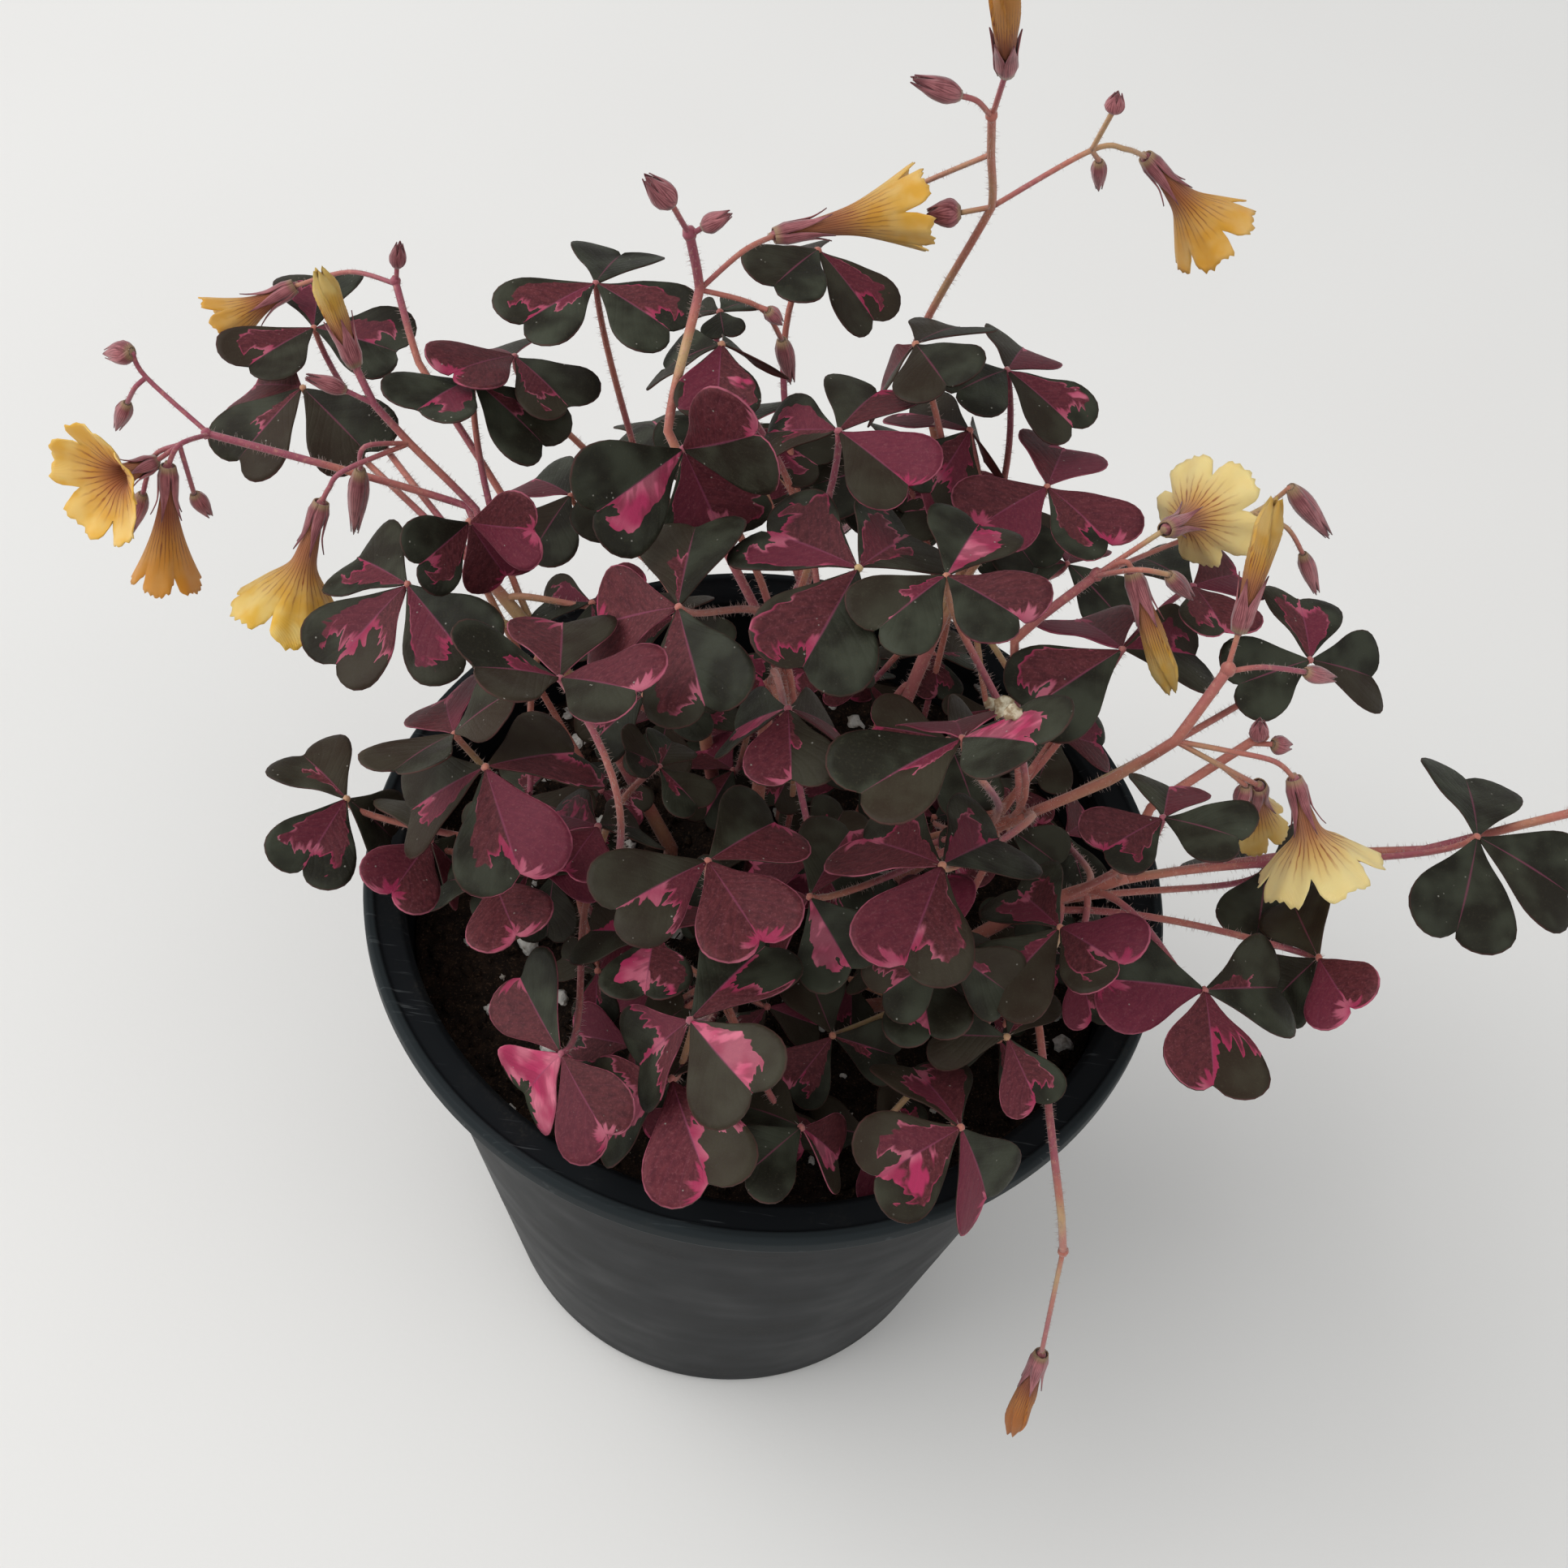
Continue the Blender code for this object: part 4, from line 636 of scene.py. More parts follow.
def makePiece(name, parts, materials, node):
    # one mesh of many parts, which rides on the only body and replaces its node's solids
    points, corners, sizes, finishes = [], [], [], []
    layers = {layer: [] for part in parts for sheet in part["sheets"] for layer in sheet["uv"]}
    layers = dict(sorted(layers.items()))
    total = 0
    for part in parts:
        own = np.asarray(part["points"], dtype=np.float64).reshape(-1, 3)
        for sheet in part["sheets"]:
            for faces in sheet["faces"]:
                flat = np.asarray(faces, dtype=np.int64).reshape(-1)
                corners.append(flat + total)
                sizes.append(np.full(len(faces), faces.shape[1]))
                finishes.append(np.full(len(faces), sheet["finish"]))
                for layer, values in layers.items():
                    given = sheet["uv"].get(layer)
                    values.append(np.zeros((len(flat), 2)) if given is None else given[flat])
        points.append(own)
        total += len(own)
    points, corners = np.concatenate(points), np.concatenate(corners)
    sizes, finishes = np.concatenate(sizes), np.concatenate(finishes)
    mesh = bpy.data.meshes.new(name)
    mesh.vertices.add(len(points))
    mesh.vertices.foreach_set("co", points.reshape(-1))
    mesh.loops.add(len(corners))
    mesh.loops.foreach_set("vertex_index", corners)
    mesh.polygons.add(len(sizes))
    mesh.polygons.foreach_set("loop_start", np.concatenate(([0], np.cumsum(sizes)[:-1])))
    for material in materials:
        mesh.materials.append(material)
    mesh.polygons.foreach_set("material_index", finishes)
    mesh.polygons.foreach_set("use_smooth", np.ones(len(sizes), dtype=bool))
    mesh.update(calc_edges=True)
    for layer, values in layers.items():
        mesh.uv_layers.new(name=layer).data.foreach_set("uv", np.concatenate(values).reshape(-1))
    piece = bpy.data.objects.new(name, mesh)
    bpy.context.scene.collection.objects.link(piece)
    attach(piece, "root")
    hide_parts(node)
    return piece


def tubePart(path, radii, sides, finish=0):
    # a round tube with closed ends; its uv is (share of the length, share of the turn)
    count = len(path)
    rings = tubeRings(path, np.broadcast_to(radii, count), sides)
    points = [tuple(point) for ring in rings + [[path[0], path[-1]]] for point in ring]
    share, turn = np.repeat(np.linspace(0, 1, count), sides), np.tile(np.arange(sides) / sides, count)
    uv = np.concatenate([np.stack([share, turn], -1), [[0, 0], [1, 0]]])
    return ringedPart(points, sides, finish, layers={"blade": uv})


def hairPart(path, radius, perMetre, length, seed):
    # fine straight hairs that stand out of a tube, each a slim cone; the radius may be one for each point
    draw = np.random.default_rng(seed)
    places = np.array([tuple(point) for point in path])
    spans = np.diff(places, axis=0)
    steps = np.linalg.norm(spans, axis=1)
    along = np.concatenate([[0], np.cumsum(steps)])
    count = max(1, int(along[-1] * perMetre))
    at = np.sort(draw.uniform(0, along[-1], count))
    centre = np.stack([np.interp(at, along, places[:, k]) for k in range(3)], -1)
    step = np.clip(np.searchsorted(along, at) - 1, 0, len(steps) - 1)
    direction = spans[step] / steps[step][:, None]
    out = draw.normal(size=(count, 3))
    out -= direction * (out * direction).sum(1)[:, None]
    out /= np.linalg.norm(out, axis=1)[:, None]
    lean = out + direction * draw.uniform(-0.25, 0.45, (count, 1))
    lean /= np.linalg.norm(lean, axis=1)[:, None]
    wide = np.interp(at, along, np.broadcast_to(radius, len(along)))[:, None]
    foot = centre + out * wide * 0.85
    tip = foot + lean * (length * draw.uniform(0.5, 1.0, (count, 1)) + wide * 0.15)
    side = np.cross(lean, direction)
    side /= np.linalg.norm(side, axis=1)[:, None]
    other = np.cross(lean, side)
    thick = stemLook["hairThick"]
    corners = [foot + (side * math.cos(turn) + other * math.sin(turn)) * thick for turn in (0, 2.1, 4.2)]
    points = np.stack(corners + [tip], 1)
    base = np.arange(count)[:, None] * 4
    faces = [base + np.array(corner)[None] for corner in ((0, 1, 3), (1, 2, 3), (2, 0, 3), (2, 1, 0))]
    return {"points": points, "sheets": [{"faces": faces, "finish": 1, "uv": {}}]}


def lumpPart(centre, axis, wide, high, rows, sides, rough, seed, finish=0):
    # a small closed knob, of its own width and height along its axis
    first, second = frameAlong(axis)
    points = []
    for row in range(1, rows):
        tilt = math.pi * row / rows
        for side in range(sides):
            turn = math.tau * side / sides
            out = first * math.cos(turn) + second * math.sin(turn)
            place = out * math.sin(tilt) * wide + axis * math.cos(tilt) * high
            place = place * (1 + rough * noise.noise(place * (1.7 / wide) + Vector((seed, 0, 0))))
            points.append(tuple(centre + place))
    points += [tuple(centre + axis * high), tuple(centre - axis * high)]
    return ringedPart(points, sides, finish, flip=True)


# small helpers for materials, and node settings that many of them share
soft = {"interpolation_type": "SMOOTHSTEP"}
plus, minus, times = {"operation": "ADD"}, {"operation": "SUBTRACT"}, {"operation": "MULTIPLY"}
most, zigzag = {"operation": "MAXIMUM"}, {"operation": "PINGPONG"}


def toLinear(hexColour):
    # an sRGB hex colour as the linear one that a node takes
    channels = [int(hexColour[i:i + 2], 16) / 255 for i in (1, 3, 5)]
    return [c / 12.92 if c <= 0.04045 else ((c + 0.055) / 1.055) ** 2.4 for c in channels] + [1.0]


def addNode(tree, kind, settings):
    # a key is one of the node's own settings, or an input by its name or number;
    # a value is a number, a hex colour, or a node or socket to link
    node = tree.nodes.new("ShaderNode" + kind)
    for key, value in settings.items():
        if isinstance(key, str) and hasattr(node, key):
            setattr(node, key, value)
        elif hasattr(value, "outputs"):
            tree.links.new(value.outputs[0], node.inputs[key])
        elif isinstance(value, bpy.types.NodeSocket):
            tree.links.new(value, node.inputs[key])
        else:
            node.inputs[key].default_value = toLinear(value) if isinstance(value, str) else value
    return node


def newMaterial(name, settings):
    # a Principled material whose settings are the shader's own sockets, what adds a node to it, and the
    # place on the object that its textures read
    material = bpy.data.materials.new(name)
    material.use_nodes = True
    shader = material.node_tree.nodes["Principled BSDF"]
    for key, value in settings.items():
        shader.inputs[key].default_value = value
    add = functools.partial(addNode, material.node_tree)
    return material, add, add("TexCoord", {}).outputs["Object"]


def layColours(add, base, layers):
    # lays colours over each other; each comes in while its source runs from low to high, up to its share,
    # and is thinned by the masks after it
    for source, low, high, share, colour, *masks in layers:
        amount = add("MapRange", {**soft, 0: source, 1: low, 2: high, 4: share})
        for mask in masks:
            amount = add("Math", {**times, 0: amount, 1: mask})
        base = add("MixRGB", {0: amount, 1: base, 2: colour})
    return base


def finishMaterial(material, colour, height, distance, roughness=None):
    # links the colour, the roughness if it varies, and the relief, whose depth is given in metres
    tree = material.node_tree
    shader = tree.nodes["Principled BSDF"]
    tree.links.new(colour.outputs[0], shader.inputs["Base Color"])
    if roughness:
        tree.links.new(roughness.outputs[0], shader.inputs["Roughness"])
    bump = addNode(tree, "Bump", {"Distance": distance, "Height": height})
    tree.links.new(bump.outputs[0], shader.inputs["Normal"])
    return material


# leaves
leafLook = {
    "thickness": 0.00032,
    "rows": 19,
    "columns": 8,  # on each side of the midrib
    "outline": ((0.30, 0.20), (0.62, 0.44), (0.89, 0.49), (1.05, 0.35), (1.06, 0.14)),
    "wave": 0.012,  # these three are shares of the leaflet's length
    "curl": 0.055,
    "quilting": 0.0012,
    "veins": 9,
    "green": "#373a2e",
    "brown": "#38291e",
    "greenDeep": "#1c1a11",
    "greenCells": "#403d2e",
    "plum": "#5e2a2e",
    "plumDeep": "#411a1f",
    "plumCells": "#7a464b",
    "pink": "#a52e55",
    "pinkPale": "#c56c80",
    "margin": "#55302f",
    "crimson": "#7d2644",
    "midrib": "#86405a",
    "speck": "#9a978d",
    "under": "#54221d",
    "underDeep": "#34130f",
    "underCells": "#6a3a34",
    "underVein": "#7a4440",
    "underMidrib": "#9a6058",
}


def sideVeins(add, blade):
    # 0 on each side vein and 0.5 halfway between two
    x = add("Math", {**times, 0: blade[0], 1: leafLook["veins"]})
    y = add("Math", {**times, 0: blade[1], 1: -1.3})
    return add("Math", {**zigzag, 0: add("Math", {**plus, 0: x, 1: y}), 1: 0.5})


def leafUpper():
    # oxalis leaf, upper side: matt wax over dark cells, and plum where the green is missing, so the eye
    # reads dusty patches whose edges are feathered along the side veins
    look = leafLook
    material, add, where = newMaterial("sorrelLeafUpper", {"IOR": 1.42, "Specular IOR Level": 0.22})
    blade, cover, change, nature = [
        add("SeparateXYZ", {0: add("UVMap", {"uv_map": name})}).outputs
        for name in ("blade", "cover", "change", "nature")
    ]
    along, across = blade[0], blade[1]
    seed = add("Math", {**times, 0: change[1], 1: 71.0})

    # strips between the side veins: teeth of the patch, where it ends, and streaks in it
    leafPlace = add("CombineXYZ", {0: along, 1: across, 2: seed})
    strips = []
    for scale, detail, rough in (((7.5, 1.6, 1), 2.0, 0.5), ((2, 5, 1), 2.5, 0.5), ((26, 7, 1), 3.0, 0.6)):
        place = add("Mapping", {"Vector": leafPlace, "Scale": scale})
        strips.append(add("TexNoise", {"Vector": place, "Scale": 1.0, "Detail": detail, "Roughness": rough}))
    teeth, ends, streaks = strips
    tooth = add("MapRange", {0: teeth, 3: -0.36, 4: 0.36})
    reached = add("Math", {**plus, 0: along, 1: add("MapRange", {0: ends, 3: -0.25, 4: 0.25})})
    beyond = add("Math", {**minus, 0: reached, 1: change[0]})
    outer = add("MapRange", {**soft, 0: beyond, 1: -0.02, 2: 0.02})
    covered = add("Mix", {"data_type": "FLOAT", 0: outer, 2: cover[0], 3: cover[1]})
    edge = add("Math", {**minus, 0: add("Math", {**plus, 0: covered, 1: tooth}), 1: across})
    patch = add("MapRange", {**soft, 0: edge, 1: -0.012, 2: 0.012})

    # green: grey wax in clouds some 6 mm wide over cells of 0.4 mm, which are larger than real ones
    cells = add("TexNoise", {"Vector": where, "Scale": 2600.0, "Detail": 3.0, "Roughness": 0.6})
    clouds = add("TexNoise", {"Vector": where, "Scale": 160.0, "Detail": 2.0})
    green = layColours(add, look["greenDeep"], (
        (clouds, 0.35, 0.68, 1.0, look["green"]),
        (add("Math", {**zigzag, 0: seed, 1: 1.0}), 0.3, 1.0, 0.6, look["brown"]),
        (cells, 0.52, 0.75, 0.35, look["greenCells"]),
    ))

    # plum: streaks along the side veins, and pink next to the patch's own edge
    lit = add("Math", {**zigzag, 0: add("Math", {**times, 0: seed, 1: 3.7}), 1: 1.0})
    plum = layColours(add, look["plumDeep"], (
        (streaks, 0.22, 0.78, 1.0, look["plum"]),
        (lit, 0.4, 1.0, 0.38, look["crimson"]),
        (cells, 0.5, 0.75, 0.5, look["plumCells"]),
    ))
    pink = layColours(add, look["pink"], ((clouds, 0.38, 0.66, 1.0, look["pinkPale"]),))
    nearEnd = add("MapRange", {**soft, 0: beyond, 1: -0.06, 2: 0.0})
    nearEdge = add("MapRange", {**soft, 0: edge, 1: 0.07, 2: 0.0})
    some = add("MapRange", {**soft, 0: ends, 1: 0.44, 2: 0.56})
    band = add("Math", {**most, 0: nearEnd, 1: add("Math", {**times, 0: nearEdge, 1: some})})
    band = add("Math", {**times, 0: band, 1: 0.7})
    uneven = add("MapRange", {**soft, 0: teeth, 1: 0.5, 2: 0.8, 3: -0.25, 4: 0.35})
    whole = add("Math", {**plus, 0: nature[0], 1: uneven})
    whole = add("MapRange", {**soft, 0: whole, 1: 0.45, 2: 0.75})
    coloured = add("MixRGB", {0: add("Math", {**most, 0: whole, 1: band}), 1: plum, 2: pink})
    base = add("MixRGB", {0: patch, 1: green, 2: coloured})

    # midrib, side veins, a thin pale margin, and a few specks about 0.15 mm wide
    vein = sideVeins(add, blade)
    margin = add("MixRGB", {0: patch, 1: look["margin"], 2: look["pinkPale"]})
    thin = add("MapRange", {**soft, 0: teeth, 1: 0.35, 2: 0.6, 3: 0.3})
    dots = add("TexVoronoi", {"Vector": where, "Scale": 900.0})
    rare = add("TexNoise", {"Vector": where, "Scale": 420.0})
    rare = add("MapRange", {**soft, 0: rare, 1: 0.60, 2: 0.66, 4: 0.7})
    base = layColours(add, base, (
        (across, 0.035, 0.0, 0.55, look["midrib"]),
        (vein, 0.05, 0.0, 0.12, look["midrib"], patch),
        (across, 0.965, 0.995, 0.6, margin, thin),
        (dots, 0.16, 0.08, 1.0, look["speck"], rare),
    ))
    base = add("HueSaturation", {"Value": nature[1], "Color": base})

    between = add("MapRange", {**soft, 0: vein, 1: 0.0, 2: 0.25, 4: 0.35})
    quilt = add("Math", {**plus, 0: between, 1: add("Math", {**times, 0: cells, 1: 0.8})})
    roughness = add("MapRange", {0: cells, 1: 0.3, 2: 0.7, 3: 0.50, 4: 0.66})
    return finishMaterial(material, base, quilt, 0.00006, roughness)


def leafUnder():
    # the leaf's underside: wine brown from the red cells beneath, smoother, with a pale raised midrib
    look = leafLook
    settings = {"Roughness": 0.5, "IOR": 1.42, "Specular IOR Level": 0.3}
    material, add, where = newMaterial("sorrelLeafUnder", settings)
    blade = add("SeparateXYZ", {0: add("UVMap", {"uv_map": "blade"})}).outputs
    cells = add("TexNoise", {"Vector": where, "Scale": 1800.0, "Detail": 3.0, "Roughness": 0.6})
    clouds = add("TexNoise", {"Vector": where, "Scale": 220.0})
    base = layColours(add, look["underDeep"], (
        (clouds, 0.35, 0.7, 1.0, look["under"]),
        (cells, 0.5, 0.75, 0.4, look["underCells"]),
        (sideVeins(add, blade), 0.06, 0.0, 0.3, look["underVein"]),
    ))
    rib = add("MapRange", {**soft, 0: blade[1], 1: 0.05, 2: 0.0, 4: 0.8})
    base = add("MixRGB", {0: rib, 1: base, 2: look["underMidrib"]})
    height = add("Math", {**plus, 0: rib, 1: add("Math", {**times, 0: cells, 1: 0.3})})
    return finishMaterial(material, base, height, 0.00012)


def halfOutline():
    # the smooth half edge from hub to notch: share of its length, and where it is along and across
    corners = [Vector((u, v, 0)) for u, v in ((0, 0), *leafLook["outline"], (leafSize["notch"], 0))]
    path = np.array([tuple(point) for point in smoothPath(corners, 12)])
    steps = np.concatenate([[0], np.cumsum(np.linalg.norm(np.diff(path, axis=0), axis=1))])
    return steps / steps[-1], path[:, 0], path[:, 1]


def leafletPart(leaf, which, letters, draw):
    # rows run from hub to notch and fan out like the side veins; columns run from edge to edge
    look = leafLook
    rows, middle = look["rows"], look["columns"]
    wide = 2 * middle + 1
    axis, length = leaf["axes"][which], leaf["sizes"][which]
    normal = (leaf["facing"] - axis * leaf["facing"].dot(axis)).normalized()
    share, edgeU, edgeV = halfOutline()
    t, c = np.linspace(0.035, 0.975, rows), np.linspace(-1, 1, wide)
    reach = np.abs(c)[None, :]
    ribU = leafSize["notch"] * t[:, None] ** 1.12
    u = np.append(ribU * (1 - reach) + np.interp(t, share, edgeU)[:, None] * reach, leafSize["notch"])
    v = np.append(np.interp(t, share, edgeV)[:, None] * c[None, :], 0.0)
    t, c = np.append(np.repeat(t, wide), 1.0), np.append(np.tile(c, rows), 0.0)
    side = np.abs(c)
    curl, phase = draw.uniform(-0.4, 1.0) * look["curl"], draw.uniform(0, math.tau)
    lift = leafSize["fold"] * (np.sqrt(v**2 + 0.0006) - 0.0245) - leafSize["arch"] * u**2  # a rounded crease
    lift += look["wave"] * np.sin(9 * u + 7 * v + phase) * side - curl * side**3 * t
    lift += look["quilting"] * np.sin(t * math.tau * look["veins"] - side * 8) * side * (1 - side**4)
    axes = np.array([tuple(axis), tuple(normal.cross(axis)), tuple(normal)])
    place = np.array(leaf["hub"]) + length * np.stack([u, v, lift], -1) @ axes
    thick = look["thickness"] / 2 * (1 - 0.35 * side[:, None] ** 3) * axes[2]
    count = len(place)

    squares, last = gridFaces(rows, wide), (rows - 1) * wide
    tips = np.array([(last + i, last + i + 1, count - 1) for i in range(wide - 1)])
    border = [row * wide for row in range(rows - 1, -1, -1)] + list(range(1, wide))
    border = np.array(border + [row * wide + wide - 1 for row in range(1, rows)] + [count - 1])
    seed, shade = draw.uniform(0.05, 0.45), draw.uniform(0.86, 1.16)
    scatter = draw.uniform(0.88, 1.12)

    def sheetOf(faces, half, finish=0):
        near, far, change, pinkness = patchKinds[letters[half]]
        flat = np.ones((2 * count, 1))
        uv = {
            "blade": np.tile(np.stack([t, side], -1), (2, 1)),
            "cover": flat * [near * scatter, far],
            "change": flat * [change, seed + half * 0.5],
            "nature": flat * [pinkness, shade],
        }
        return {"faces": faces, "finish": finish, "uv": uv}

    left = (squares % wide).min(1) >= middle
    sheets = [
        sheetOf([squares[left][:, ::-1], tips[middle:, ::-1]], 0),
        sheetOf([squares[~left][:, ::-1], tips[:middle, ::-1]], 1),
        sheetOf([squares + count, tips + count], 0, 1),
        sheetOf([rimFaces(border, count)[:, ::-1]], 0),
    ]
    return {"points": np.concatenate([place + thick, place - thick]), "sheets": sheets}


# stems, petioles and their hairs
stemLook = {
    "sides": 10,
    "shape": ((0, 0.3, 0.85, 1), (1.15, 1.05, 0.95, stemSize["taper"])),  # share of the length, of the radius
    "petioleSides": 7,
    "petioleSteps": 14,
    "petioleTaper": 0.2,
    "stalkSides": 9,
    "rootKnot": 1.35,  # these two are shares of what they are on
    "stalkKnot": 1.5,
    "hubWide": 0.62,
    "hubHigh": 0.00045,
    "hairLength": 0.0009,
    "hairThick": 0.000035,  # a real hair is half as thick, which is too fine to show
    "petioleHairs": 6500,  # to the metre, as for the next two
    "stemHairs": 11000,
    "stalkHairs": 7000,
    "skin": "#b0695a",
    "skinDeep": "#984c5c",
    "skinPale": "#b89a6c",
    "skinFlecks": "#c8937e",
    "hair": "#cfb5a8",
    "hairDull": "#a57c74",
}


def stemSkin():
    # young stem: a thin translucent rind, red from sap where the light reaches it, tan lower down
    look = stemLook
    settings = {"Roughness": 0.48, "IOR": 1.42, "Specular IOR Level": 0.4, "Sheen Weight": 0.25}
    material, add, where = newMaterial("sorrelStemRind", settings)
    patches = add("TexNoise", {"Vector": where, "Scale": 46.0, "Detail": 1.0})
    streaks = add("TexNoise", {"Vector": where, "Scale": 1300.0, "Detail": 3.0})
    base = layColours(add, look["skinDeep"], (
        (patches, 0.34, 0.56, 1.0, look["skin"]),
        (patches, 0.56, 0.72, 1.0, look["skinPale"]),
        (streaks, 0.5, 0.8, 0.5, look["skinFlecks"]),
    ))
    return finishMaterial(material, base, streaks, 0.00006)


def hairSkin():
    # stem hairs: clear single cells that catch the light as a pale fuzz
    settings = {"Roughness": 0.4, "IOR": 1.45, "Sheen Weight": 0.5}
    material, add, where = newMaterial("sorrelHair", settings)
    patches = add("TexNoise", {"Vector": where, "Scale": 300.0})
    base = add("MixRGB", {0: patches, 1: stemLook["hairDull"], 2: stemLook["hair"]})
    return finishMaterial(material, base, patches, 0.00001)


# buds and calyces
calyxLook = {
    "pedicel": 0.0004,
    "pedicelHairs": (4200, 0.0006),  # how many to the metre, and their length
    "budHairs": (9000, 0.0005),
    "rows": 11,
    "sides": (0.00022, 0.00006),  # how far a sepal's outer and inner side stand off what it holds
    "overlap": 0.00006,
    "thinnest": 0.00004,
    "flare": 0.0006,
    "rolledFlare": 0.0002,
    "budSepal": (0.72, 0.16),  # width and flare, as shares of the bud's radius
    "sepalWide": 0.0008,
    "sepalLong": 0.0068,
    "rolledWide": 1.35,  # how much wider a rolled flower's sepals are
    "bowl": ((-0.0009, 0.00045), (-0.0002, 0.0007), (0.0004, 0.001), (0.001, 0.0012)),  # along, radius
    "bud": ((0, 0.06, 0.2, 0.36, 0.6, 0.8, 0.92, 1), (0.3, 0.5, 0.8, 0.88, 0.7, 0.4, 0.2, 0.06)),
    "mauve": "#ae6a6e",
    "mauveDeep": "#73393e",
    "green": "#94875a",
    "tip": "#5a252b",
}


def calyxSkin():
    # sepals and bud scales: thin green leaf flushed mauve, with darker tips and fine down
    look = calyxLook
    settings = {"Roughness": 0.55, "IOR": 1.42, "Specular IOR Level": 0.35, "Sheen Weight": 0.3}
    material, add, where = newMaterial("sorrelCalyx", settings)
    blade = add("UVMap", {"uv_map": "blade"})
    share = add("SeparateXYZ", {0: blade}).outputs[0]
    lines = add("Mapping", {"Vector": blade, "Location": (0, 0, 3), "Scale": (2.5, 7, 1)})
    lines = add("TexNoise", {"Vector": lines, "Scale": 1.0, "Detail": 3.0})
    streaks = add("TexNoise", {"Vector": where, "Scale": 330.0, "Detail": 3.0})
    streaks = add("MixRGB", {0: 0.4, 1: lines, 2: streaks})
    base = layColours(add, look["mauveDeep"], (
        (streaks, 0.40, 0.62, 1.0, look["mauve"]),
        (share, 0.16, 0.0, 0.6, look["green"]),
        (share, 0.8, 1.0, 0.7, look["tip"]),
    ))
    return finishMaterial(material, base, streaks, 0.00008)


def sepalParts(start, axis, reach, curve, width, flare):
    # five sepals wrapped round what they hold; curve gives its radius at a distance along the axis
    rows = calyxLook["rows"]
    first, second = [np.array(way) for way in frameAlong(axis)]
    share = np.repeat(np.linspace(0, 1, rows), 5)
    part = np.tile([-1, -0.5, 0, 0.5, 1], rows)
    belly = 0.8 + 0.4 * np.sin(math.pi * np.minimum(1, share * 1.3))
    wide = width * (1 - share**1.5) * belly + calyxLook["thinnest"]
    along = reach[0] + (reach[1] - reach[0]) * share
    held = curve(along) + flare * np.clip((share - 0.55) / 0.45, 0, 1) ** 2
    middle = np.array(start) + np.outer(along, np.array(axis))
    count = len(share)
    squares = gridFaces(rows, 5)
    border = list(range(5)) + [row * 5 + 4 for row in range(1, rows)]
    border += [count - 1 - i for i in range(1, 5)] + [row * 5 for row in range(rows - 2, 0, -1)]
    faces = [squares, squares[:, ::-1] + count, rimFaces(np.array(border), count)]
    uv = {"blade": np.tile(np.stack([share, np.abs(part)], -1), (2, 1))}
    parts = []
    for number in range(5):
        radius = held + calyxLook["overlap"] * (number % 3)
        angle = math.tau * (number + 0.5) / 5 + part * wide / np.maximum(radius, 0.0004)
        outward = np.outer(np.cos(angle), first) + np.outer(np.sin(angle), second)
        sides = [middle + outward * (radius + lift)[:, None] for lift in calyxLook["sides"]]
        parts.append({"points": np.concatenate(sides), "sheets": [{"faces": faces, "finish": 2, "uv": uv}]})
    return parts


def pedicelParts(path, sides, seed):
    # the thin stalk of one bud or flower
    look = calyxLook
    hairs = hairPart(path, look["pedicel"], *look["pedicelHairs"], seed)
    return [tubePart(path, look["pedicel"], sides), hairs]


def budParts(radius, points):
    # pedicel, then a pointed bud: five sepals closed over the rolled petals, their tips a little apart
    look = calyxLook
    places = [seenAt(*point) for point in points]
    foot, tip = places[-2:]
    parts = pedicelParts(smoothPath(places[:-1], 6), 7, 5) if len(places) > 2 else []
    axis, length = (tip - foot).normalized(), (tip - foot).length
    shares = np.linspace(0, 1, 13)
    wide = np.interp(shares, *look["bud"]) * radius
    path = [foot + axis * length * share for share in shares]
    parts.append(tubePart(path, wide * 0.9, 14, 2))

    def curve(along):
        return np.interp(along / length, shares, wide) * 0.92

    width, flare = look["budSepal"]
    parts += sepalParts(foot, axis, (0.0, length), curve, radius * width, radius * flare)
    parts.append(hairPart(path, wide, *look["budHairs"], 7))
    return parts


def calyxParts(pedicel, mouth, radius):
    # pedicel, a small cup, and five sepals that lie along the flower's tube with their tips standing out
    look, size = calyxLook, flowerSize
    start, axis, length = flowerAxis(pedicel[-1], mouth)
    parts = pedicelParts(smoothPath([seenAt(*point) for point in pedicel], 7), 8, 3)
    cup = size["calyxCup"] + size["gap"]
    bowl = look["bowl"] + ((cup, 0.0012),)
    parts.append(tubePart([start + axis * along for along, _ in bowl], [wide for _, wide in bowl], 15, 2))
    tubeAlong, tubeWide = corollaCurve(length - size["calyxCup"], radius)

    def curve(along):
        held = np.interp(along - cup, tubeAlong, tubeWide)
        return np.maximum(held + 0.00012, np.interp(along, (0, 0.0006, 0.0014), (0.0007, 0.0011, 0.00135)))

    reach = (-0.0002, size["calyxCup"] + min(look["sepalLong"], 0.5 * length))
    wide, flare = (1, look["flare"]) if radius else (look["rolledWide"], look["rolledFlare"])
    return parts + sepalParts(start, axis, reach, curve, look["sepalWide"] * wide, flare)


# corollas
petalLook = {
    "sides": 100,
    "rows": 22,
    "thickness": 0.00022,
    "ruffle": 0.0005,
    "rag": 0.03,
    "cleft": 0.27,
    "rolled": ((0, 0.12, 0.45, 0.8, 0.93, 1.0), (0.0008, 0.0012, 0.0018, 0.0020, 0.0015, 0.0009)),
    "yellow": "#edb842",
    "yellowPale": "#f4cf78",
    "lemon": "#f6e0a0",
    "orange": "#d27c22",
    "amber": "#dd9430",
    "rust": "#7c2a24",
    "vein": "#a04c22",
    "veinOld": "#86301a",
    "throat": "#cb7a5a",
    "throatOld": "#9c4426",
}


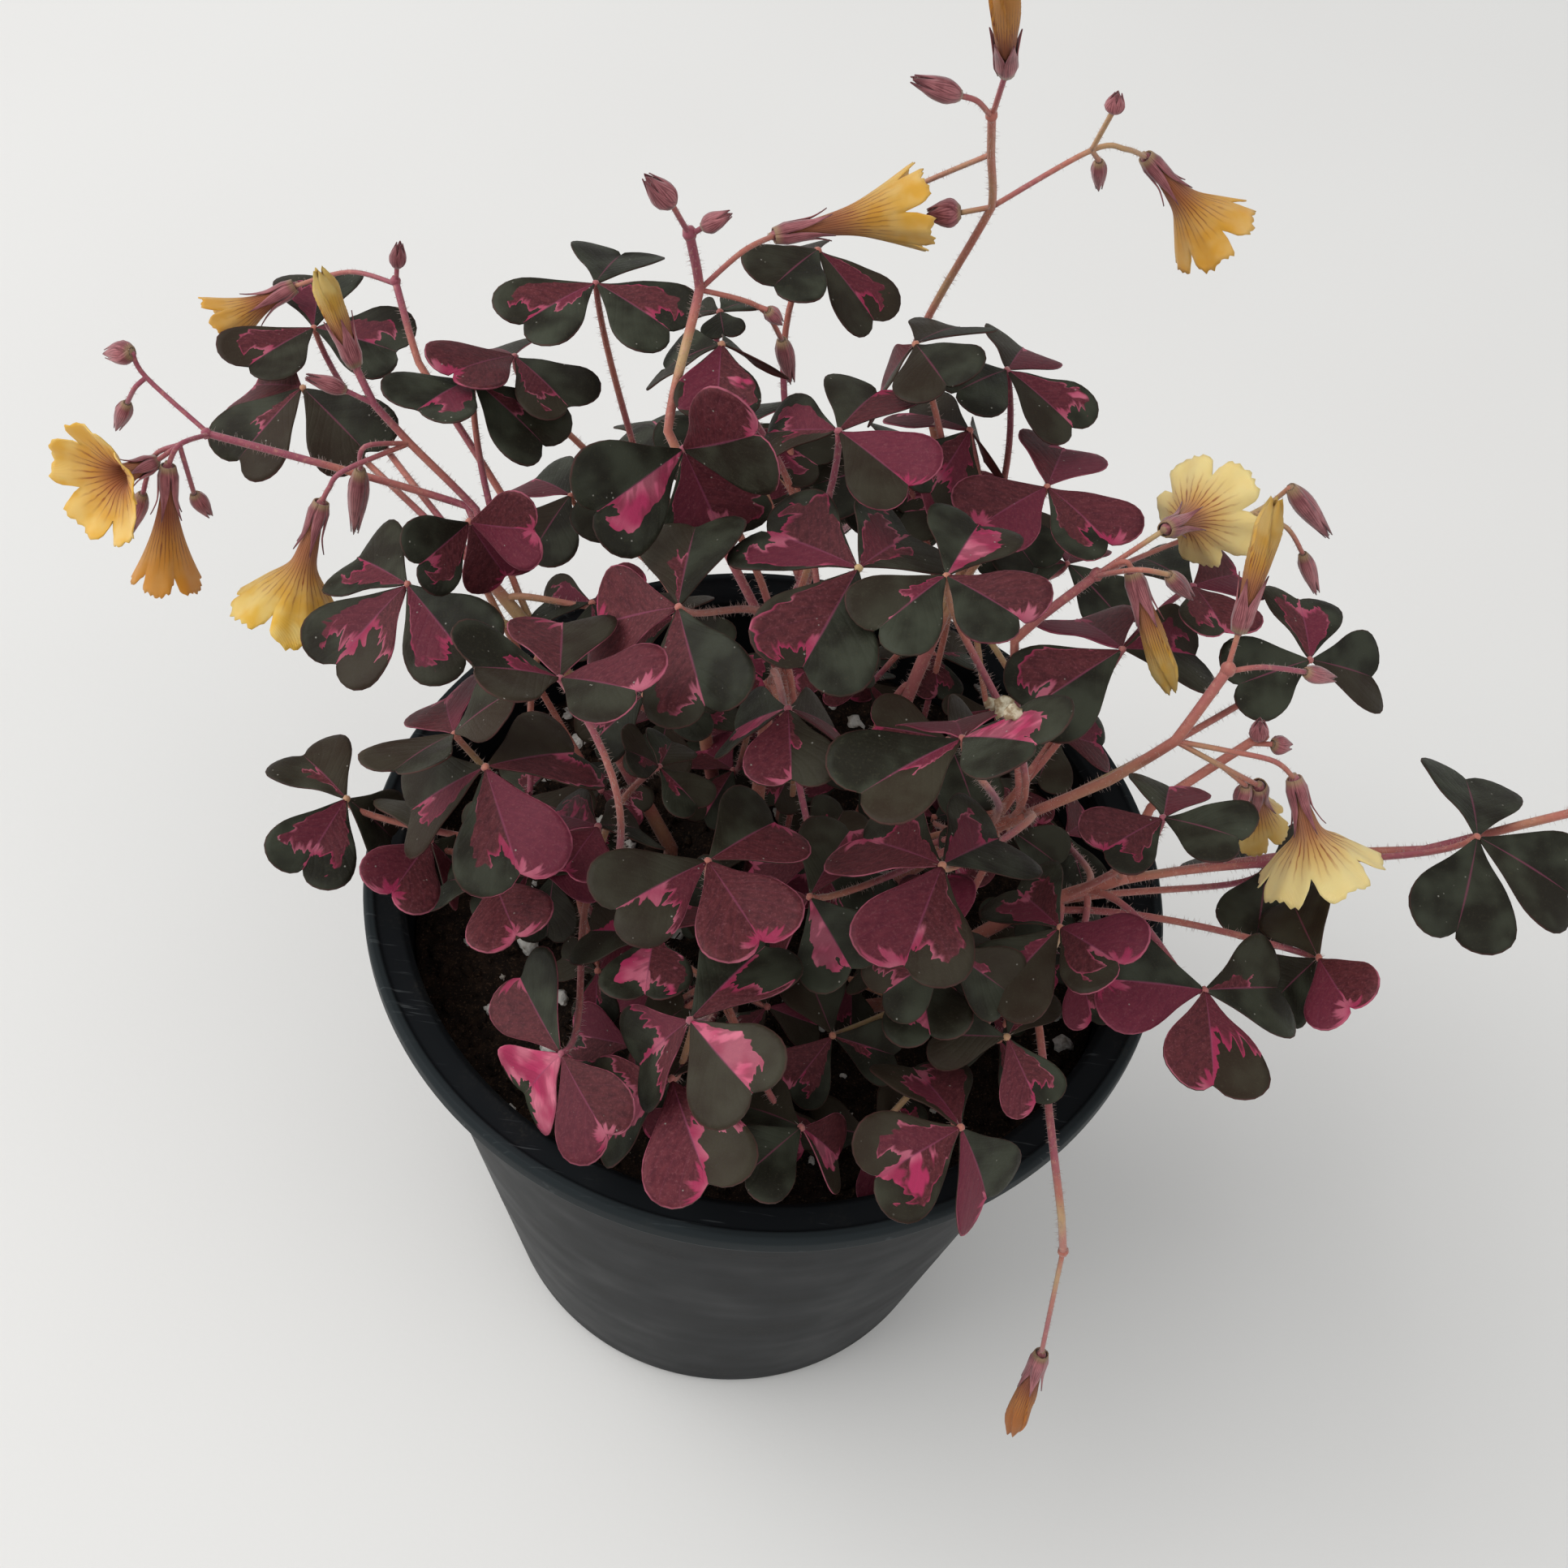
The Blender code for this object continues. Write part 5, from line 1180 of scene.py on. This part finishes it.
def petalSkin():
    # oxalis petal: thin satin tissue, yellow with red brown veins that rise out of a mauve throat
    look = petalLook
    material, add, where = newMaterial("sorrelPetal", {
        "Roughness": 0.5, "IOR": 1.4, "Specular IOR Level": 0.35, "Sheen Weight": 0.15,
        "Subsurface Weight": 0.15, "Subsurface Radius": (0.001, 0.0006, 0.0002), "Subsurface Scale": 1.0,
    })
    petal, age = [
        add("SeparateXYZ", {0: add("UVMap", {"uv_map": name})}).outputs for name in ("petal", "age")
    ]
    turn, share, age = petal[0], petal[1], age[0]
    clouds = add("TexNoise", {"Vector": where, "Scale": 260.0, "Detail": 2.0})
    base = layColours(add, look["yellow"], ((clouds, 0.35, 0.65, 1.0, look["yellowPale"]),))
    for end, colour in ((-1.0, look["lemon"]), (0.8, look["orange"])):
        base = add("MixRGB", {0: add("MapRange", {0: age, 2: end}), 1: base, 2: colour})

    # amber towards the throat, then six veins a petal, which fade towards its end
    wander = add("TexNoise", {"Vector": where, "Scale": 500.0, "Detail": 2.0})
    bend = add("MapRange", {0: wander, 3: -0.3, 4: 0.3})
    vein = add("Math", {**plus, 0: add("Math", {**times, 0: turn, 1: 3.0}), 1: bend})
    vein = add("Math", {**zigzag, 0: vein, 1: 0.5})
    fade = add("MapRange", {**soft, 0: share, 1: 0.84, 2: 0.45})
    uneven = add("MapRange", {**soft, 0: wander, 1: 0.35, 2: 0.6, 3: 0.5})
    aged = add("MapRange", {0: age, 2: 0.5})
    throat = add("MixRGB", {0: aged, 1: look["throat"], 2: look["throatOld"]})
    veined = add("MixRGB", {0: aged, 1: look["vein"], 2: look["veinOld"]})
    base = layColours(add, base, (
        (share, 0.85, 0.35, 0.65, look["amber"]),
        (share, 0.56, 0.26, 0.8, throat),
        (vein, 0.19, 0.04, 1.0, veined, fade, uneven),
    ))
    withered = add("MapRange", {0: age, 1: 0.8})
    streaked = add("MapRange", {**soft, 0: wander, 1: 0.35, 2: 0.6, 3: 1.0, 4: 0.65})
    withered = add("Math", {**times, 0: withered, 1: streaked})
    base = add("MixRGB", {0: withered, 1: base, 2: look["rust"]})
    ribs = add("Math", {**zigzag, 0: add("Math", {**times, 0: turn, 1: 31.0}), 1: 0.5})
    return finishMaterial(material, base, ribs, 0.00009)


def sheetShell(outer, inner, sides, uv):
    # a closed thin shell from an outer and an inner grid that share their size; row 0 is the throat
    count = len(outer)
    points = np.concatenate([outer, inner, [outer[:sides].mean(0)], [inner[:sides].mean(0)]])
    squares = gridFaces(count // sides, sides, closed=True)
    ring = np.arange(sides)
    lip, after = ring + count - sides, np.roll(ring, -1) + count - sides
    rim = np.stack([lip, after, after + count, lip + count], -1)
    throats = [fanFaces(2 * count, ring, True), fanFaces(2 * count + 1, ring + count, False)]
    faces = [squares, squares[:, ::-1] + count, rim] + throats
    layers = {layer: np.concatenate([values, values, values[:1], values[:1]]) for layer, values in uv.items()}
    return {"points": points, "sheets": [{"faces": faces, "finish": 0, "uv": layers}]}


def corollaCurve(length, radius):
    # distance along the axis and outer radius, from throat to mouth
    if not radius:
        shares, radii = np.array(petalLook["rolled"])
        return shares * length, radii
    bell = 0.80 - 0.06 * radius / flowerSize["widest"]
    corners = ((0, 0.0008), (0.28, 0.0014), (0.52, 0.0023), (bell, 0.0010 + 0.5 * radius), (1, radius))
    path = smoothPath([Vector((u * length, v, 0)) for u, v in corners], 10)
    return np.array([point.x for point in path]), np.array([point.y for point in path])


def corollaPart(foot, mouth, radius, age, seed):
    # five petals in one sheet: an open bell with clefts and ragged ends, or rolled round each other
    look, size = petalLook, flowerSize
    start, axis, length = flowerAxis(foot, mouth)
    start = start + axis * (size["calyxCup"] + size["gap"])
    length -= size["calyxCup"]
    rows, sides = look["rows"], look["sides"]
    first, second = [np.array(way) for way in frameAlong(axis)]
    axis, start = np.array(axis), np.array(start)
    share, turn = np.linspace(0, 1, rows), np.arange(sides) / sides
    angle = turn * math.tau
    fromCleft = np.abs((turn * 5 + 0.5) % 1 - 0.5) * 2
    if radius:
        draw = np.random.default_rng(seed)
        curveAlong, curveWide = corollaCurve(length, radius)
        steps = np.concatenate([[0], np.cumsum(np.hypot(np.diff(curveAlong), np.diff(curveWide)))])
        at = share**0.9 * steps[-1]
        along, wide = np.interp(at, steps, curveAlong), np.interp(at, steps, curveWide)
        deep = np.clip((share - 0.55) / 0.45, 0, 1)[:, None] ** 1.2
        cleft = np.clip(1 - fromCleft / 0.36, 0, 1)[None, :] ** 1.3
        blunt = (1 - fromCleft)[None, :] ** 3
        rag = look["rag"] * (draw.random(sides) - 0.5)[None, :] + 0.02 * np.sin(angle * 35)[None, :]
        cut = 1 - deep * (look["cleft"] * cleft + 0.05 * blunt) + rag * deep**6
        ruffle = look["ruffle"] * share[:, None] ** 2 * np.sin(angle * 10 + draw.uniform(0, 6))[None, :]
        axial = along[:, None] * (0.5 + 0.5 * cut) + ruffle * radius / size["widest"]
        radial = wide[:, None] * cut
        slope = np.gradient(wide, along)
        rise = 1 / np.sqrt(1 + slope**2)
        inAxial = axial + (slope * rise)[:, None] * look["thickness"]
        inRadial = np.maximum(radial - rise[:, None] * look["thickness"], 0.0003)
    else:
        along = share * length
        wide = np.interp(along, *corollaCurve(length, radius))
        spiral = (turn[None, :] * 5 + share[:, None] * 1.3) % 1
        fold = (spiral - 0.5) * np.clip((share - 0.25) / 0.4, 0, 1)[:, None]
        radial = wide[:, None] * (0.94 + 0.24 * fold)
        axial = along[:, None] + 0.0005 * (share[:, None] ** 8) * np.sin(angle * 5)[None, :]
        inAxial, inRadial = axial - 0.0003 * share[:, None], radial * 0.55

    def places(axials, radials):
        out = np.outer(np.cos(angle), first) + np.outer(np.sin(angle), second)
        return (start + axis * axials[:, :, None] + out * radials[:, :, None]).reshape(-1, 3)

    uv = {
        "petal": np.stack([np.tile(fromCleft, rows), np.repeat(share, sides)], -1),
        "age": np.tile([age, 0.0], (rows * sides, 1)),
    }
    return sheetShell(places(axial, radial), places(inAxial, inRadial), sides, uv)


# pot
potLook = {
    "sides": 192,
    "ripple": 0.00002,
    "edge": 0.00035,
    "step": 0.0016,
    "drainSides": 40,
    "worn": (0.1085, 0.113),  # heights between which handling has scuffed it, and where the rim's painted highlight lies
    "black": "#181a1c",
    "scuff": "#4a4d4e",
    "paintedRimHighlight": "#3a4143",
    "dust": "#4d4840",
}


def potPlastic():
    # injection moulded polypropylene, black: soft streaky gloss, fine flow lines round the wall, and dust
    # and scuffs where hands and stacking have rubbed the rim, with a painted highlight in a pale band near
    # the rim's outer edge
    look = potLook
    material, add, where = newMaterial("blackPolypropylene", {"IOR": 1.49, "Specular IOR Level": 0.03})
    stretched = add("Mapping", {"Vector": where, "Scale": (60.0, 60.0, 1400.0)})
    flow = add("TexNoise", {"Vector": stretched, "Scale": 1.0, "Detail": 2.0})
    patches = add("TexNoise", {"Vector": where, "Scale": 70.0, "Detail": 4.0})
    grainy = add("TexNoise", {"Vector": where, "Scale": 1500.0, "Detail": 3.0})
    scratch = add("Mapping", {"Vector": where, "Rotation": (0.5, 0.3, 0.7), "Scale": (90.0, 1500.0, 400.0)})
    scratch = add("TexNoise", {"Vector": scratch, "Scale": 1.0, "Detail": 3.0})
    low, high = look["worn"]
    upright = add("SeparateXYZ", {0: where}).outputs[2]
    worn = add("MapRange", {**soft, 0: upright, 1: low, 2: high})
    flat = add("Mapping", {"Vector": where, "Scale": (1.0, 1.0, 0.0)})
    across = add("VectorMath", {"operation": "LENGTH", 0: flat}).outputs[1]
    bead = potSize["rimRadius"]
    speckled = add("MapRange", {**soft, 0: grainy, 1: 0.48, 2: 0.66, 3: 0.2})
    base = layColours(add, look["black"], (
        (scratch, 0.62, 0.72, 0.55, look["scuff"], worn),
        # painted highlight: a pale band just inside the rim's outer edge stands in for the gloss line there,
        # not wear
        (across, bead - 0.0021, bead - 0.0014, 0.36, look["paintedRimHighlight"], worn),
        (patches, 0.52, 0.72, 0.2, look["dust"], speckled),
    ))
    roughness = add("MapRange", {0: patches, 1: 0.3, 2: 0.7, 3: 0.34, 4: 0.44})
    return finishMaterial(material, base, flow, 0.000007, roughness)


def roundedProfile(corners, radius, steps=5):
    # a line through the corners with each inner one rounded off
    corners = [Vector(corner) for corner in corners]
    path = [corners[0]]
    for before, corner, after in zip(corners, corners[1:], corners[2:]):
        into, out = before - corner, after - corner
        start = corner + into.normalized() * min(radius, into.length * 0.45)
        end = corner + out.normalized() * min(radius, out.length * 0.45)
        for step in range(steps + 1):
            t = step / steps
            path.append(start * (1 - t) ** 2 + corner * 2 * t * (1 - t) + end * t**2)
    return path + [corners[-1]]


def lathePart(profile, sides, ripple):
    # turns a profile of (radius, height) round the z axis, with flat ends
    made = []
    for radius, height in profile:
        shifted = radius + ripple * math.sin(height * 800) * (0.5 + 0.5 * math.sin(height * 230))
        for side in range(sides):
            turn = math.tau * side / sides
            made.append((shifted * math.cos(turn), shifted * math.sin(turn), height))
    return ringedPart(made + [(0, 0, profile[0][1]), (0, 0, profile[-1][1])], sides)


def drainDrill(number):
    # a round bar where one drain hole goes
    size, sides = potSize, potLook["drainSides"]
    x, y = circle((number + 0.5) / size["drainHoles"])
    place = Vector((size["drainRing"] * x, size["drainRing"] * y, 0))
    ends = [place - Vector((0, 0, size["floor"])), place + Vector((0, 0, 2 * size["floor"]))]
    bar = tubePart(ends, size["drainRadius"], sides)
    squares, first, last = bar["sheets"][0]["faces"]
    faces = np.concatenate([squares[:, [0, 1, 2]], squares[:, [0, 2, 3]], first, last])
    mesh = bpy.data.meshes.new("drain")
    mesh.from_pydata(bar["points"], [], faces.tolist())
    return bpy.data.objects.new("drain", mesh)


def makePot():
    # the vessel is turned from its profile, then the drain holes are cut out of its floor
    size, look = potSize, potLook
    rim, flat, high = size["rimRadius"], size["rimFlat"], size["height"]
    under = high - size["rimDepth"]
    corners = [
        (size["baseRadius"] - 0.0022, 0), (size["baseRadius"], 0.0016), (wallRadius(under), under),
        (rim - 0.0008, under), (rim, under + 0.0012), (rim - 0.0001, high - 0.0009), (rim - 0.0006, high),
        (rim - 0.0017, high), (rim - 0.0021, high - 0.0005), (rim - 0.0016 - flat, high - 0.0004),
        (rim - 0.0027 - flat, high - 0.0014), (wallRadius(under) - size["wall"], under - 0.003),
        (wallRadius(size["floor"]) - size["wall"], size["floor"]),
    ]
    profile = []
    for start, end in itertools.pairwise(roundedProfile(corners, look["edge"])):
        steps = max(1, round((end - start).length / look["step"]))
        profile += [start.lerp(end, step / steps) for step in range(steps)]
    profile.append(Vector(corners[-1]))
    vessel = lathePart(profile, look["sides"], look["ripple"])
    pot = makePiece("nurseryPot", [vessel], [potPlastic()], "pot")
    drill = bpy.data.collections.new("drill")
    for number in range(size["drainHoles"]):
        drill.objects.link(drainDrill(number))
    cut = pot.modifiers.new("drains", "BOOLEAN")
    cut.operation, cut.operand_type, cut.collection, cut.solver = "DIFFERENCE", "COLLECTION", drill, "EXACT"
    cutMesh = bpy.data.meshes.new_from_object(pot.evaluated_get(bpy.context.evaluated_depsgraph_get()))
    pot.modifiers.clear()
    pot.data = cutMesh
    for helper in list(drill.objects):
        bpy.data.objects.remove(helper)
    bpy.data.collections.remove(drill)
    pot.data.polygons.foreach_set("use_smooth", np.ones(len(pot.data.polygons), dtype=bool))
    pot.data.set_sharp_from_angle(angle=math.radians(40))


# soil
soilLook = {
    "rings": 46,
    "sides": 150,
    "rough": 0.0011,
    # count, least width, how much wider, how rare the wide ones are, share that is sunk, flatness, then the
    # rows, sides and roughness of each lump
    "crumbs": (1500, 0.0004, 0.0012, 2.5, 0.1, (0.5, 0.9), 4, 6, 0.9),
    "perlite": (130, 0.0006, 0.0017, 2, 0.25, (0.6, 0.95), 6, 9, 0.7),
    "fibres": 150,
    "fibre": 0.00012,
    "fibreLength": (0.003, 0.009),
    "fibreBend": 0.001,
    "inset": 0.00012,  # from the pot's wall
    "scatter": 0.965,  # share of the radius that grains reach
    "peatWet": "#1c140f",
    "peat": "#33251b",
    "peatPale": "#6a523f",
    "perliteWhite": "#e4e0d8",
    "perliteSmeared": "#8a7a66",
    "seed": 8,
}


def peat():
    # moist peat compost: matt crumbs and fibres, dark where it is wet
    look = soilLook
    settings = {"Roughness": 0.92, "IOR": 1.4, "Specular IOR Level": 0.25}
    material, add, where = newMaterial("moistPeat", settings)
    clumps = add("TexNoise", {"Vector": where, "Scale": 420.0, "Detail": 5.0, "Roughness": 0.7})
    fine = add("TexNoise", {"Vector": where, "Scale": 2400.0, "Detail": 3.0})
    base = layColours(add, look["peatWet"], (
        (clumps, 0.42, 0.72, 1.0, look["peat"]),
        (fine, 0.55, 0.78, 0.7, look["peatPale"]),
    ))
    return finishMaterial(material, base, fine, 0.0003)


def perlite():
    # perlite: popped volcanic glass, chalky white, with pores and smears of peat
    look = soilLook
    material, add, where = newMaterial("perlite", {"Roughness": 0.85, "IOR": 1.45})
    pores = add("TexNoise", {"Vector": where, "Scale": 1500.0, "Detail": 3.0})
    smears = add("TexNoise", {"Vector": where, "Scale": 350.0})
    base = layColours(add, look["perliteWhite"], ((smears, 0.5, 0.7, 0.8, look["perliteSmeared"]),))
    return finishMaterial(material, base, pores, 0.0004)


def soilHeights():
    # the bumps of the solid's own rings, by share of the radius and side
    draw = random.Random(soilSize["seed"])
    bump, rings = soilSize["bump"], []
    for share, roughness in soilSize["rings"]:
        rings.append([draw.uniform(-bump, bump) * roughness for _ in range(soilSize["sides"])])
    return [share for share, _ in soilSize["rings"]], rings


def soilAt(share, turn, known):
    # height of the soil at a share of its radius and of a whole turn
    shares, rings = known
    sides = soilSize["sides"]
    at = (turn % 1) * sides
    before, blend = int(at) % sides, at - int(at)
    values = [ring[before] * (1 - blend) + ring[(before + 1) % sides] * blend for ring in rings]
    middle = sum(rings[-1]) / sides
    height = np.interp(share, [0] + shares[::-1], [middle] + values[::-1])
    x, y = circle(turn)
    rough = noise.fractal(Vector((share * x * 14, share * y * 14, 3.1)), 0.9, 2.1, 4)
    edge = min(1.0, (1 - share) * 8)
    return soilSize["top"] - 0.001 + height + soilLook["rough"] * rough * (0.3 + 0.7 * edge)


def makeSoil():
    # the bed of peat, then crumbs and fibres on it, then grains of perlite
    look = soilLook
    radius = wallRadius(soilSize["top"]) - potSize["wall"] - look["inset"]
    known = soilHeights()
    rings, sides = look["rings"], look["sides"]
    low = potSize["floor"] + 0.0003
    lowRadius = wallRadius(low) - potSize["wall"] - soilSize["clear"]
    around = [circle(side / sides) for side in range(sides)]
    points = [(lowRadius * x, lowRadius * y, low) for x, y in around]
    for ring in range(rings):
        share = 1 - ring / rings
        for side, (x, y) in enumerate(around):
            points.append((radius * share * x, radius * share * y, soilAt(share, side / sides, known)))
    bed = ringedPart(points + [(0, 0, low), (0, 0, soilAt(0, 0, known))], sides)
    ground = peat()
    makePiece("peatBed", [bed], [ground], "soil")

    draw = random.Random(look["seed"])

    def scatterPlace(sunk):
        share, turn = math.sqrt(draw.random()) * look["scatter"], draw.random()
        x, y = circle(turn)
        return Vector((radius * share * x, radius * share * y, soilAt(share, turn, known) - sunk))

    def scatter(count, least, more, power, sunk, flatness, *shape):
        # crumbs or grains, each of a random size and way round, and partly sunk
        lumps = []
        for number in range(count):
            wide = least + more * draw.random() ** power
            way = Vector((draw.gauss(0, 1), draw.gauss(0, 1), draw.gauss(0, 1))).normalized()
            place = scatterPlace(wide * sunk)
            lumps.append(lumpPart(place, way, wide, wide * draw.uniform(*flatness), *shape, number))
        return lumps

    crumbs = scatter(*look["crumbs"])
    for _ in range(look["fibres"]):
        start = scatterPlace(-0.0004)
        turn = draw.uniform(0, math.tau)
        way = Vector((math.cos(turn), math.sin(turn), draw.uniform(-0.1, 0.25)))
        side = Vector((-way.y, way.x, 0))
        length = draw.uniform(*look["fibreLength"])
        middle = start + way * length * 0.5 + side * draw.uniform(-look["fibreBend"], look["fibreBend"])
        path = smoothPath([start, middle, start + way * length], 3)
        crumbs.append(tubePart(path, look["fibre"], 4))
    makePiece("peatCrumbs", crumbs, [ground], "soil")
    makePiece("perliteGrains", scatter(*look["perlite"]), [perlite()], "soil")


# withered tissue: torn blade and dead stubs, each as its pixel in the photograph and its size
witheredLook = {
    "bits": (
        (1222, 868, 0.0009), (1236, 873, 0.0014), (1250, 880, 0.0011), (957, 835, 0.0009), (905, 755, 0.0008),
    ),
    "heights": (0.05, 0.2),
    "near": 0.0009,
    "pale": "#c9bfa6",
    "brown": "#8f7a5e",
}


def witheredTissue():
    # dead leaf tissue: dry, papery and matt, bleached to beige with brown creases
    look = witheredLook
    settings = {"Roughness": 0.75, "IOR": 1.4, "Specular IOR Level": 0.3}
    material, add, where = newMaterial("witheredLeaf", settings)
    creases = add("TexNoise", {"Vector": where, "Scale": 900.0, "Detail": 3.0})
    base = layColours(add, look["brown"], ((creases, 0.4, 0.6, 1.0, look["pale"]),))
    return finishMaterial(material, base, creases, 0.0001)


def addWithered(blades):
    # each bit lies on the blade that is seen at its pixel
    look = witheredLook
    for number, (pixelX, pixelY, size) in enumerate(look["bits"]):
        low, high = (np.array(seenAt(pixelX, pixelY, height)) for height in look["heights"])
        ray = (high - low) / np.linalg.norm(high - low)
        best = None
        for name, parts in blades.items():
            for part in parts:
                off = part["points"] - low
                along = off @ ray
                seen = np.linalg.norm(off - np.outer(along, ray), axis=1) < look["near"]
                if seen.any() and (best is None or along[seen].max() > best[0]):
                    best = (along[seen].max(), name)
        if best:
            place = Vector(low + ray * best[0])
            blades[best[1]].append(lumpPart(place, Vector(ray), size, size * 0.3, 9, 14, 0.8, number, 2))


# the pieces
def camel(name):
    first, *rest = name.split("_")
    return first + "".join(word.capitalize() for word in rest)


def makeLeafyStems():
    # each stem is three pieces: its leaflets, its shoots with their hairs, and its buds and calyces
    look = stemLook
    blades, shoots, heads = [{name: [] for name in stems} for _ in range(3)]
    radius, hubWide = petioleSize["radius"], leafSize["hub"] * look["hubWide"]
    rootKnot = radius * look["rootKnot"]
    for number, leaf in enumerate(placed):
        name, facing = leaf["stem"], leaf["facing"]
        draw = random.Random(100 + number)
        for which, letters in enumerate(leaf["patches"].split()):
            blades[name].append(leafletPart(leaf, which, letters, draw))
        path = petiolePath(leaf, look["petioleSteps"])
        radii = [radius * (1.0 - look["petioleTaper"] * i / len(path)) for i in range(len(path))]
        shoots[name] += [
            tubePart(path, radii, look["petioleSides"]),
            hairPart(path, radius, look["petioleHairs"], look["hairLength"], number),
            lumpPart(leaf["hub"], facing, hubWide, look["hubHigh"], 6, 10, 0.25, number),
            lumpPart(path[0], facing, rootKnot, rootKnot, 6, 8, 0.3, number),
        ]
    for number, name in enumerate(stems):
        path = stemPath(name, 9)
        radii = np.interp(np.linspace(0, 1, len(path)), *look["shape"]) * stemSize["radius"]
        shoots[name] += [
            tubePart(path, radii, look["sides"]),
            hairPart(path[1:], stemSize["radius"], look["stemHairs"], look["hairLength"], 500 + number),
        ]
    for number, (name, size, points) in enumerate(stalks):
        path, knot = stalkPath(name, points, 8), size * look["stalkKnot"]
        shoots[name] += [
            tubePart(path, size, look["stalkSides"]),
            hairPart(path, size, look["stalkHairs"], look["hairLength"], 600 + number),
            lumpPart(path[-1], Vector((0, 0, 1)), knot, knot, 6, 9, 0.2, number),
        ]
    for name, size, points in buds:
        heads[name] += budParts(size, points)
    for _, name, size, pedicel, mouth, _ in flowers:
        heads[name] += calyxParts(pedicel, mouth, size)
    addWithered(blades)
    skins = [stemSkin(), hairSkin(), calyxSkin()]
    leafSkins = [leafUpper(), leafUnder(), witheredTissue()]
    for name in stems:
        node = "leafy_stem_" + name
        makePiece(camel(node) + ".leaves", blades[name], leafSkins, node)
        makePiece(camel(node) + ".shoots", shoots[name], skins[:2], node)
        if heads[name]:
            makePiece(camel(node) + ".calyces", heads[name], skins, node)


def makeCorollas():
    # each flower's petals are one piece
    petal = petalSkin()
    for number, (flower, _, radius, pedicel, mouth, age) in enumerate(flowers):
        node = "corolla_" + flower
        part = corollaPart(pedicel[-1], mouth, radius, age, 40 + number)
        makePiece(camel(node), [part], [petal], node)


makePot()
print("sorrel: pot made")
makeSoil()
print("sorrel: soil made")
makeLeafyStems()
print("sorrel: leafy stems made")
makeCorollas()
print("sorrel: corollas made")

# floor and light
stageLook = {
    "floor": "#e9e8e5",
    "floorDull": "#e4e2df",
    "sky": "#eceef0",
    "skyStrength": 0.56,
    "half": 2.5,  # half the floor's width
    "lights": (  # name, place, width, power
        ("window", (-1.4, -0.05, 1.45), 2.2, 35.0),
        ("fill", (0.9, -0.7, 1.1), 1.4, 6.0),
    ),
}


def paintedFloor():
    # painted board: matt white, faintly uneven where the roller went
    material, add, where = newMaterial("mattPaintedBoard", {"Roughness": 0.7, "Specular IOR Level": 0.3})
    clouds = add("TexNoise", {"Vector": where, "Scale": 6.0, "Detail": 2.0})
    base = add("MixRGB", {0: clouds, 1: stageLook["floorDull"], 2: stageLook["floor"]})
    fine = add("TexNoise", {"Vector": where, "Scale": 900.0})
    return finishMaterial(material, base, fine, 0.00002)


def makeStage():
    mesh = bpy.data.meshes.new("floor")
    half = stageLook["half"]
    corners = [(-half, -half, 0), (half, -half, 0), (half, half, 0), (-half, half, 0)]
    mesh.from_pydata(corners, [], [(0, 1, 2, 3)])
    floor = bpy.data.objects.new("floor", mesh)
    mesh.materials.append(paintedFloor())
    bpy.context.scene.collection.objects.link(floor)
    world = bpy.data.worlds.new("daylight")
    world.use_nodes = True
    background = world.node_tree.nodes["Background"]
    background.inputs[0].default_value = toLinear(stageLook["sky"])
    background.inputs[1].default_value = stageLook["skyStrength"]
    bpy.context.scene.world = world
    bpy.context.scene.view_settings.view_transform = "Standard"
    for name, place, width, power in stageLook["lights"]:
        light = bpy.data.lights.new(name, "AREA")
        light.size, light.energy = width, power
        lamp = bpy.data.objects.new(name, light)
        lamp.location = place
        lamp.rotation_euler = (sight["target"] - Vector(place)).to_track_quat("-Z", "Y").to_euler()
        bpy.context.scene.collection.objects.link(lamp)


makeStage()
bpy.context.view_layer.update()
